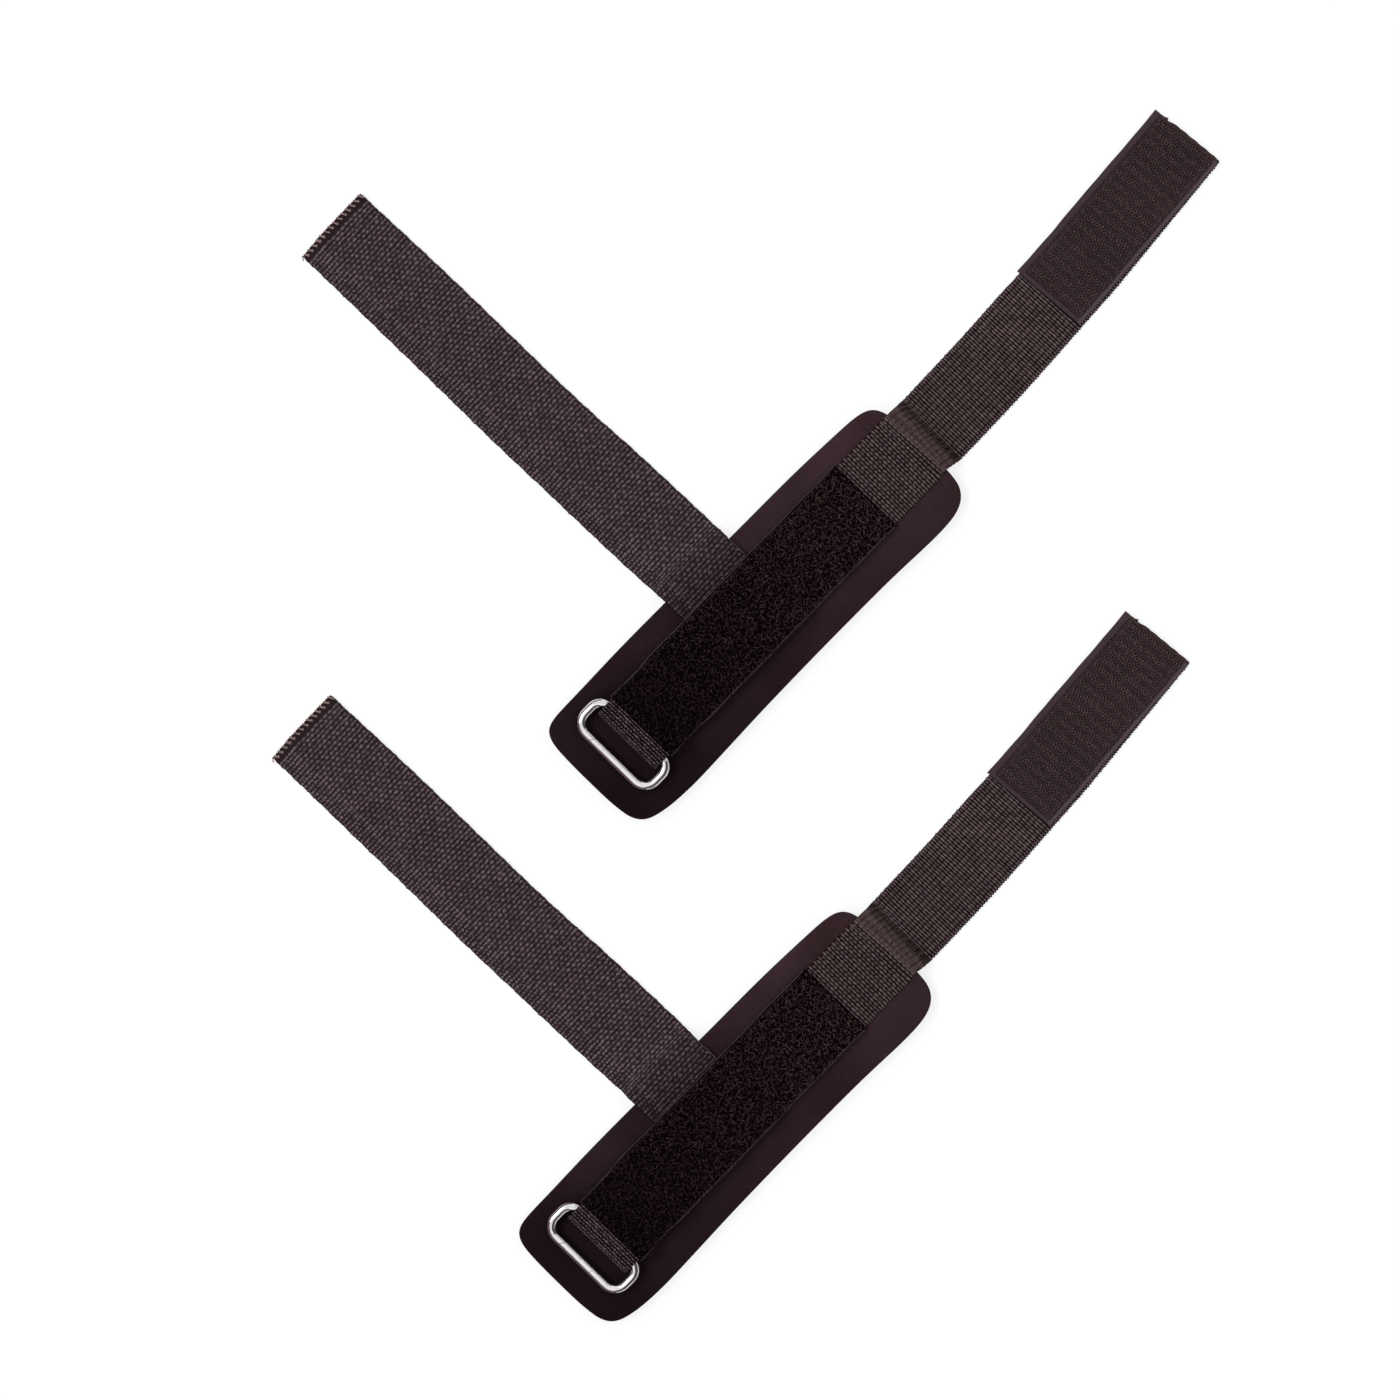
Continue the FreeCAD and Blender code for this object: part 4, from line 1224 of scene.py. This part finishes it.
def make_loop_patch(side, centre, lay, over):
    """Pile tape sewn along the webbing: a tape with selvedges, its pile and two seams."""
    start, end = lay.where(LOOP_FROM_X, over), lay.where(LOOP_TO_X, over)
    length = end - start
    lift = WEBBING / 2 + LOOP_GROUND / 2 + 0.05

    def half(s):
        return LOOP_WIDTH / 2 + 0.10 * np.sin(s * 0.21) + 0.04 * np.sin(s * 1.3)

    def corner(across):
        return np.where(across < -15.0, 0.4, 0.0) - 0.004 * across

    def rim(s):
        """The cord lies a little further in where the ring's sides swing down past it."""
        return half(s) - 0.18 - 0.35 * np.clip((start + 26.0 - s) / 6.0, 0, 1)

    tape = lay_tape(f"{side}_loop_tape", lay, centre, start, end, half, LOOP_GROUND,
                    LOOP_GROUND_FINISH, lift=lift, cut=corner, curl=0.22, columns=24, count_from=start)
    pile = grow(STANDING_LOOPS, tape, f"{side}_loop_pile", PILE_THREAD, Seed=21, From=0.3,
                To=length - 0.2, Low=-18.5, High=17.8, Row_pitch=1.0, Stitch_pitch=1.0, Scatter=0.75,
                Bend_radius=0.72, Thread=0.18, Sweep=4.3, Lift=0.12, Lean=1.2, Size_jitter=0.35, Bends=5)
    seams = [sewn_seam(tape, f"{side}_loop_seam_{label}", seed, at, 1.0, length - 1.0,
                       Row_pitch=2.6, Length=2.4, Width=0.40, Height=0.30, Sink=-0.02, Turn=0.06,
                       Turn_jitter=0.10, Place_jitter=0.05)
             for label, at, seed in (("upper", 17.85, 22), ("lower", -18.45, 23))]
    for label, way in (("upper", 1.0), ("lower", -1.0)):
        seams.append(edge_cord(f"{side}_loop_selvedge_{label}", centre, lay, start, end,
                               lambda s, way=way: way * rim(s), lift + 0.42, 0.24, SELVEDGE))
    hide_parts(f"{side}_loop_patch")
    for piece, slot in [(tape, "loop_pile"), (pile, "loop_pile")] + [(s, "thread") for s in seams]:
        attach(piece, f"{side}_pad")
    return [tape, pile] + seams


def make_hook_patch(side, centre, lay, over):
    """Hook tape sewn on the end of the tail: borders, ribs, columns of hooks and its seams."""
    start, end = lay.where(HOOK_FROM_X, over), lay.where(HOOK_TO_X, over)
    length = end - start
    lift = WEBBING / 2 + HOOK_GROUND / 2 + 0.02

    def half(s):
        return HOOK_WIDTH / 2 + 0.05 * np.sin(s * 0.4)

    def shift(s):
        return eased(HOOK_SHIFT, lay.along(s))

    def begin(across):
        return -0.022 * across + 0.05 * np.sin(across * 1.3)

    def cut(across):
        notch = 0.7 * np.exp(-((across - 10.4) / 0.5) ** 2) - 0.7 * np.exp(-((across - 11.6) / 0.6) ** 2)
        corner = 1.1 * np.clip((-15.8 - across) / 2.4, 0, 1)
        upper = 0.5 * np.clip((across - 6.0) / 4.0, 0, 1)
        return 0.10 * np.sin(across * 1.1) - notch - corner - upper

    tape = lay_tape(f"{side}_hook_tape", lay, centre, start, end, half, HOOK_GROUND,
                    HOOK_GROUND_FINISH, lift=lift, shift=shift, begin=begin, cut=cut, curl=0.12,
                    columns=36, count_from=start)
    low, high = HOOK_FIELD
    first_chain = HOOK_FIRST_CHAIN - HOOK_CHAIN_PITCH / 2
    rib_pitch = HOOK_CHAIN_PITCH / 6
    ribs = grow(LAID_YARNS, tape, f"{side}_hook_tape_ribs", HOOK_RIB, Seed=31,
                From=first_chain - rib_pitch, To=length - 0.3, Low=low, High=high,
                Row_pitch=rib_pitch, Stitch_pitch=2.2, Length=2.5, Width=0.52, Height=0.24,
                Sink=0.02, Margin=0.9, Turn=math.pi / 2, Turn_jitter=0.03, Size_jitter=0.05,
                Place_jitter=0.02, Around=5, Along=4)
    hooks = grow(STANDING_LOOPS, tape, f"{side}_hooks", HOOK_THREAD, Seed=32, From=first_chain,
                 To=first_chain + (HOOK_CHAINS + 0.01) * HOOK_CHAIN_PITCH, Low=low, High=high,
                 Row_pitch=HOOK_CHAIN_PITCH, Stitch_pitch=1.42, Scatter=0.035, Strands=2,
                 Strand_gap=0.70, Bend_radius=0.64, Thread=0.19, Sweep=4.0, Lift=0.20, Tip=0.80,
                 Lean=0.3, Turn=0.0, Turn_jitter=0.3, Size_jitter=0.12, Bends=7, Sides=4)
    seams = [sewn_seam(tape, f"{side}_hook_seam_{label}", seed, at, 2.2, length - 0.6,
                       Row_pitch=2.5, Length=2.1, Width=0.45, Height=0.26, Sink=0.0, Turn=0.1,
                       Turn_jitter=0.12, Place_jitter=0.06)
             for label, at, seed in (("upper", high + 0.5, 33), ("lower", low - 0.4, 34))]
    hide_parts(f"{side}_hook_patch")
    for piece in [tape, ribs, hooks] + seams:
        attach(piece, f"{side}_hook_end")
    return [tape, ribs, hooks] + seams


# Yarns of the cotton tape: warp knots standing proud in a brick pattern, flatter weft between
# them, closer knots along one edge, and plainer ones below.
KNOT = dict(Row_pitch=KNOT_PITCH, Odd_offset=0.6, Margin=1.0, Turn=math.pi / 2, Turn_jitter=0.24,
            Size_jitter=0.14, Place_jitter=0.17, Around=7, Along=5)
FACE_KNOTS = {
    "warp": (COTTON_YARN, dict(
        Low=-19.3, High=12.0, Stitch_pitch=2.88, Offset=0.0, Length=2.0, Width=1.75, Height=0.74,
        Sink=0.22, Odd_length=1.2, Odd_width=0.88, Odd_height=0.92)),
    "weft": (COTTON_WEFT, dict(
        Low=-19.3, High=12.0, Stitch_pitch=2.88, Offset=0.5, Length=2.2, Width=1.3, Height=0.40,
        Sink=0.26, Odd_length=1.1, Odd_width=1.1, Odd_height=1.0, Margin=0.6)),
    "edge": (COTTON_EDGE, dict(
        Low=11.5, High=KNOT_REACH, Stitch_pitch=1.62, Offset=0.0, Length=1.7, Width=1.6, Height=0.62,
        Sink=0.18, Odd_length=1.0, Odd_width=0.85, Odd_height=0.8)),
}
UNDER_KNOTS = {
    "under": (COTTON_YARN, dict(
        Low=-19.5, High=KNOT_REACH, Stitch_pitch=2.88, Offset=0.0, Length=2.7, Width=1.8, Height=0.5,
        Sink=0.2, Odd_length=1.1, Odd_width=0.9, Odd_height=0.9, **UNDER)),
}


def make_lifting_strap(side, centre):
    """The coarse cotton tape in two lengths, its woven knots, lint, and overlocked end."""
    route = Route(LIFT_FIRST_Y, PAD_TOP + LIFT / 2, LIFT / 2)
    route.level(LIFT_STEP_Y).step(STEP_RUN, -PAD_TOP).level(LIFT_TIP_Y)
    lay = Lay(route, LIFT_DRIFT, runs_along_x=False)
    first = lay.where(LIFT_SHOWS_Y)
    split = even_rows(first, lay.where(LIFT_SPLIT_Y), KNOT_PITCH)
    tip = lay.length[-1]

    def half(s):
        usual = eased(LIFT_HALF, lay.along(s)) - 0.25
        return usual + 0.10 * np.sin(s * 0.55) + 0.08 * np.sin(s * 1.7)

    def cut(across):
        return -0.35 - 0.8 * np.clip((across - 6.0) / 12.0, 0, 1) + 0.1 * np.sin(across)

    def weave(strap, label, seed, start, finish, knots):
        return [grow(LAID_YARNS, strap, f"{side}_lifting_{label}_{kind}", yarn, Seed=seed + n,
                     From=start, To=finish, **{**KNOT, **own})
                for n, (kind, (yarn, own)) in enumerate(knots.items())]

    def lint(strap, label, seed, start, finish):
        return grow(STANDING_LOOPS, strap, f"{side}_lifting_lint_{label}", LINT, Seed=seed,
                    From=start, To=finish, Low=-18.5, High=18.5, Row_pitch=6.0, Stitch_pitch=9.0,
                    Scatter=0.5, Bend_radius=1.1, Thread=0.045, Sweep=1.9, Lift=0.25, Tip=1.3,
                    Lean=0.5, Size_jitter=0.5, Bends=7, Sides=3)

    def selvedge(label, start, end):
        return edge_cord(f"{side}_lifting_selvedge_{label}", centre, lay, start, end,
                         lambda s: 0.2 - half(s), 0.25, 0.36, SELVEDGE)

    root = lay_tape(f"{side}_lifting_strap_root", lay, centre, 0.0, split, half, LIFT_GROUND,
                    COTTON_GROUND, plain_half=KNOT_REACH)
    end = lay_tape(f"{side}_lifting_strap_tip", lay, centre, split, tip, half, LIFT_GROUND,
                   COTTON_GROUND, cut=cut, plain_half=KNOT_REACH)
    under_from = even_rows(split, lay.where(30.0), KNOT_PITCH)
    on_root = weave(root, "root", 41, first, split, FACE_KNOTS)
    on_root.append(lint(root, "root", 47, first, split))
    on_root += weave(root, "root", 44, under_from, split, UNDER_KNOTS)
    on_end = weave(end, "tip", 51, split, tip - 2.4, FACE_KNOTS)
    on_end.append(lint(end, "tip", 57, split, tip - 3.0))
    on_end += weave(end, "tip", 54, split, tip - 2.0, UNDER_KNOTS)
    on_root.append(selvedge("root", first, split))
    on_end.append(selvedge("tip", split, tip - 0.5))
    on_end.append(make_overlock(side, centre, lay, tip, half, cut))
    split * MM
    (tip - split) * MM
    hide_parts(f"{side}_lifting_strap_base", f"{side}_lifting_strap_near")
    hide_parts(f"{side}_lifting_strap_far")
    for piece in [root] + on_root:
        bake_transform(piece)
    for piece in [end] + on_end:
        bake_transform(piece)
    return [root, end] + on_root + on_end


def make_overlock(side, centre, lay, tip, half, cut):
    """Zigzag thread whipped over the lifting strap's cut end, top and bottom."""
    rng = np.random.default_rng(45)
    reach = value_at(half, tip)
    count = 14
    width = reach / count
    paths = []
    for strand in range(2):
        path = []
        for n in range(count):
            left = -reach + 2 * reach * (n + 0.13 * strand) / count + rng.uniform(-0.15, 0.15)
            deep = 2.7 + rng.uniform(-0.3, 0.3)
            for across, back, level in ((0.1, deep, 0.92), (0.5, deep * 0.5, 1.05), (0.9, 0.1, 0.95),
                                        (1.0, -0.35, 0.0), (1.1, 0.1, -0.85), (1.5, deep * 0.6, -0.88),
                                        (1.9, 0.1, -0.85), (2.0, -0.35, 0.0)):
                t = np.clip(left + across * width, -reach, reach)
                fade = np.clip((10.0 - back) / 10.0, 0, 1)
                spot, aside, up, ahead = end_of(lay, tip - max(back, 0.0))
                forward = fade * value_at(cut, t) + max(-back, 0.0)
                path.append(spot + aside * t + up * level + ahead * forward)
        paths.append(refine(path, 2))
    spot, aside, up, ahead = end_of(lay, tip - 1.0)
    corner = spot + aside * (reach - 0.4) + up * 0.6
    loose = [corner + aside * out - ahead * back
             for out, back in ((0.0, 1.2), (0.5, 0.4), (1.0, 0.9), (1.5, 1.9))]
    paths.append(refine(loose, 2))
    return tube(f"{side}_lifting_overlock", paths, centre, 0.27, OVERLOCK_THREAD)


def edge_cord(name, centre, lay, start, end, across, level, radius, finish):
    """A fine cord along the edge of a tape: across and level give its place by the length."""
    s = np.arange(start, end, 1.1)
    place, side, up = lay.at(s)
    wave = 0.05 * np.sin(s * 2.9)
    path = place + side * (across(s) + wave)[:, None] + up * (level + 0.5 * wave)[:, None]
    return tube(name, [path], centre, radius, finish)


def refine(path, times):
    """Rounds a path by cutting its corners."""
    path = np.asarray(path, float)
    for _ in range(times):
        near = path[:-1] * 0.75 + path[1:] * 0.25
        far = path[:-1] * 0.25 + path[1:] * 0.75
        path = np.vstack([path[:1], np.stack([near, far], 1).reshape(-1, 3), path[-1:]])
    return path


def finish_ring(side):
    """The ring keeps its own solid and gets its plated finish."""
    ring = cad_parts[f"{side}_ring"]
    ring.data.materials.clear()
    ring.data.materials.append(plated_wire_finish(side))


def painted_light_along_cuff(x, y):
    """How far along the cuff a place lies, which sets its painted light gradient: 0 at the ring end of the
    pad, 1 at its other end.
    """
    return np.clip((x + 105.0) / 210.0, 0.0, 1.9)


def painted_light_along_pad(x, y):
    """The same for the pad, with the painted light a little stronger on the lifting strap's side."""
    return np.clip((x + 105.0) / 210.0 + 0.00375 * y, 0.0, 1.3)


def painted_shade_off_pad(x, y):
    """For the lifting strap's painted shade: 0, darkest, where it comes out from under the webbing, 1 once
    off the pad.
    """
    return np.clip((y - 24.0) / 20.0, 0.0, 1.0)


def mark(pieces, centre, name, value):
    """Notes a number on every vertex of some pieces, worked out from its pad millimetres."""
    for piece in pieces:
        mesh = piece.data
        places = np.zeros(len(mesh.vertices) * 3, np.float32)
        mesh.vertices.foreach_get("co", places)
        note = mesh.attributes.new(name, "FLOAT", "POINT")
        found = value(places[0::3] / MM - centre[0], places[1::3] / MM - centre[1])
        note.data.foreach_set("value", found.astype(np.float32))


for side in SIDES:
    low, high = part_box(f"{side}_pad_core")
    centre = ((low.x + high.x) / 2 / MM, (low.y + high.y) / 2 / MM, 0.0)
    webbing_lay, over_fold, webbing = make_webbing(side, centre)
    patches = make_loop_patch(side, centre, webbing_lay, over_fold)
    patches += make_hook_patch(side, centre, webbing_lay, over_fold)
    # The along mark sets each piece's painted light gradient, and the pinch mark the painted shade down in
    # the gathers.
    mark(make_pad(side, centre), centre, "along", painted_light_along_pad)
    mark(webbing + patches, centre, "along", painted_light_along_cuff)
    mark(webbing, centre, "pinch", pinch)
    mark(make_lifting_strap(side, centre), centre, "along", painted_shade_off_pad)
    finish_ring(side)


# ---------------------------------------------------------------- table, light and camera

# Places and sizes are in metres from here on.
TABLE_REACH = 3.0
TABLE_TOP = -0.0003
LAMPS_AIM = Vector((-0.05, -0.05, 0.0))
VIEW_ACROSS = 0.623
VIEW_FROM_RIGHT_PAD = (-0.0444, -0.00886)
VIEW_RIGHT = (0.69767, -0.71642)


def seen_directly(graph):
    """1 for what the camera sees, straight or in metal and glass, and 0 for light that falls."""
    rays = graph.node("ShaderNodeLightPath").outputs
    mirrored = graph.math("ADD", rays["Is Glossy Ray"], rays["Is Transmission Ray"])
    return graph.math("ADD", rays["Is Camera Ray"], mirrored, clamp=True)


def four_corners(name, corners, material):
    """A flat four-sided piece of the surroundings."""
    mesh = bpy.data.meshes.new(name)
    mesh.from_pydata(corners, [], [(0, 1, 2, 3)])
    mesh.materials.append(material)
    return shown(name, mesh)


def pale_table():
    """A white table top that keeps the pair's soft shadow."""
    material = bpy.data.materials.new("white_table")
    material.use_nodes = True
    nodes = material.node_tree.nodes
    nodes.remove(nodes["Principled BSDF"])
    g = Graph(material.node_tree)
    matt = g.add("ShaderNodeBsdfDiffuse", {"Color": (0.26, 0.26, 0.26, 1.0)})
    glow = g.add("ShaderNodeEmission", {"Color": (1.0, 1.0, 1.0, 1.0), "Strength": 0.77})
    lit = g.add("ShaderNodeAddShader", {0: matt, 1: glow})
    plain = g.add("ShaderNodeBsdfDiffuse", {"Color": (0.8, 0.8, 0.8, 1.0)})
    surface = g.add("ShaderNodeMixShader", {0: seen_directly(g), 1: plain, 2: lit})
    g.feed(nodes["Material Output"].inputs["Surface"], surface)
    corners = [(x * TABLE_REACH, y * TABLE_REACH, TABLE_TOP)
               for x, y in ((-1, -1), (1, -1), (1, 1), (-1, 1))]
    four_corners("table_top", corners, material)


def soft_light(name, place, size, power, mirrored=False):
    """A soft lamp aimed at the pair, which polished metal mirrors or doesn't."""
    lamp = bpy.data.lights.new(name, "AREA")
    lamp.shape = "RECTANGLE"
    lamp.size, lamp.size_y = size
    lamp.energy = power
    light = bpy.data.objects.new(name, lamp)
    light.visible_glossy = mirrored
    light.location = place
    light.rotation_mode = "QUATERNION"
    light.rotation_quaternion = (LAMPS_AIM - Vector(place)).to_track_quat("-Z", "Y")
    scene.collection.objects.link(light)


def dark_card(name, shade, corners):
    """A dark card round the pair that only shows as a dark streak in polished metal."""
    black = new_material("black_card", Base_Color=(0.0, 0.0, 0.0, 1.0), Specular_IOR_Level=0.0,
                         Emission_Color=shade, Emission_Strength=1.0)[0]
    card = four_corners(name, corners, black)
    for rays in ("camera", "diffuse", "shadow", "transmission", "volume_scatter"):
        setattr(card, f"visible_{rays}", False)


def white_room():
    """White to the camera and in reflections, and a plain soft fill for everything else."""
    world = bpy.data.worlds.new("white_room")
    world.use_nodes = True
    scene.world = world
    g = Graph(world.node_tree)
    fill = world.node_tree.nodes["Background"]
    fill.inputs["Color"].default_value = (1.0, 1.0, 1.0, 1.0)
    fill.inputs["Strength"].default_value = 0.48
    white = g.add("ShaderNodeBackground", {"Color": (1.0, 1.0, 1.0, 1.0), "Strength": 1.0})
    surface = g.add("ShaderNodeMixShader", {0: seen_directly(g), 1: fill.outputs[0], 2: white})
    g.feed(world.node_tree.nodes["World Output"].inputs["Surface"], surface)


def add_camera():
    """Straight above the pair, turned so that the cuff straps run up to the right."""
    low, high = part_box("right_pad_core")
    target = Vector(((low.x + high.x) / 2 + VIEW_FROM_RIGHT_PAD[0],
                     (low.y + high.y) / 2 + VIEW_FROM_RIGHT_PAD[1], 0.0))
    lens = bpy.data.cameras.new("camera_above")
    lens.type = "PERSP"
    lens.lens = 100.0
    lens.sensor_width = 36.0
    lens.clip_start, lens.clip_end = 0.05, 20.0
    camera = bpy.data.objects.new("camera_above", lens)
    scene.collection.objects.link(camera)
    camera.location = target + Vector((0.0, 0.0, VIEW_ACROSS * lens.lens / lens.sensor_width))
    camera.rotation_euler = (0.0, 0.0, math.atan2(VIEW_RIGHT[1], VIEW_RIGHT[0]))
    scene.camera = camera


pale_table()
white_room()
dark_card("card_beyond_right_end", srgb(84, 82, 86),
          [(-1.6, -0.95, 0.27), (1.6, -0.95, 0.27), (1.6, -0.95, 3.0), (-1.6, -0.95, 3.0)])
dark_card("card_past_ring_end", srgb(100, 82, 86),
          [(-1.5, 1.3, 0.0), (-1.5, -1.3, 0.0), (-1.5, -1.3, 1.25), (-1.5, 1.3, 1.25)])
dark_card("card_past_straps", srgb(112, 104, 106),
          [(-1.6, 1.5, 0.05), (1.6, 1.5, 0.05), (1.6, 1.5, 1.05), (-1.6, 1.5, 1.05)])
dark_card("card_beyond_tails", srgb(112, 106, 110),
          [(2.0, -1.3, 1.35), (2.0, 1.3, 1.35), (2.0, 1.3, 2.5), (2.0, -1.3, 2.5)])
dark_card("card_on_table", srgb(100, 82, 86),
          [(-1.5, -0.6, 0.0004), (-0.1135, -0.6, 0.0004), (-0.1135, 0.4, 0.0004), (-1.5, 0.4, 0.0004)])
soft_light("key_softbox", (-1.5, 1.6, 2.9), (1.1, 1.1), 41.0, mirrored=True)
soft_light("strip_at_ring_end", (-1.7, -0.1, 1.45), (0.35, 1.6), 7.0)
soft_light("strip_behind_straps", (-0.1, 1.7, 1.45), (1.6, 0.35), 8.0)
soft_light("fill_softbox", (1.9, -0.9, 2.2), (1.6, 1.6), 12.0)
add_camera()
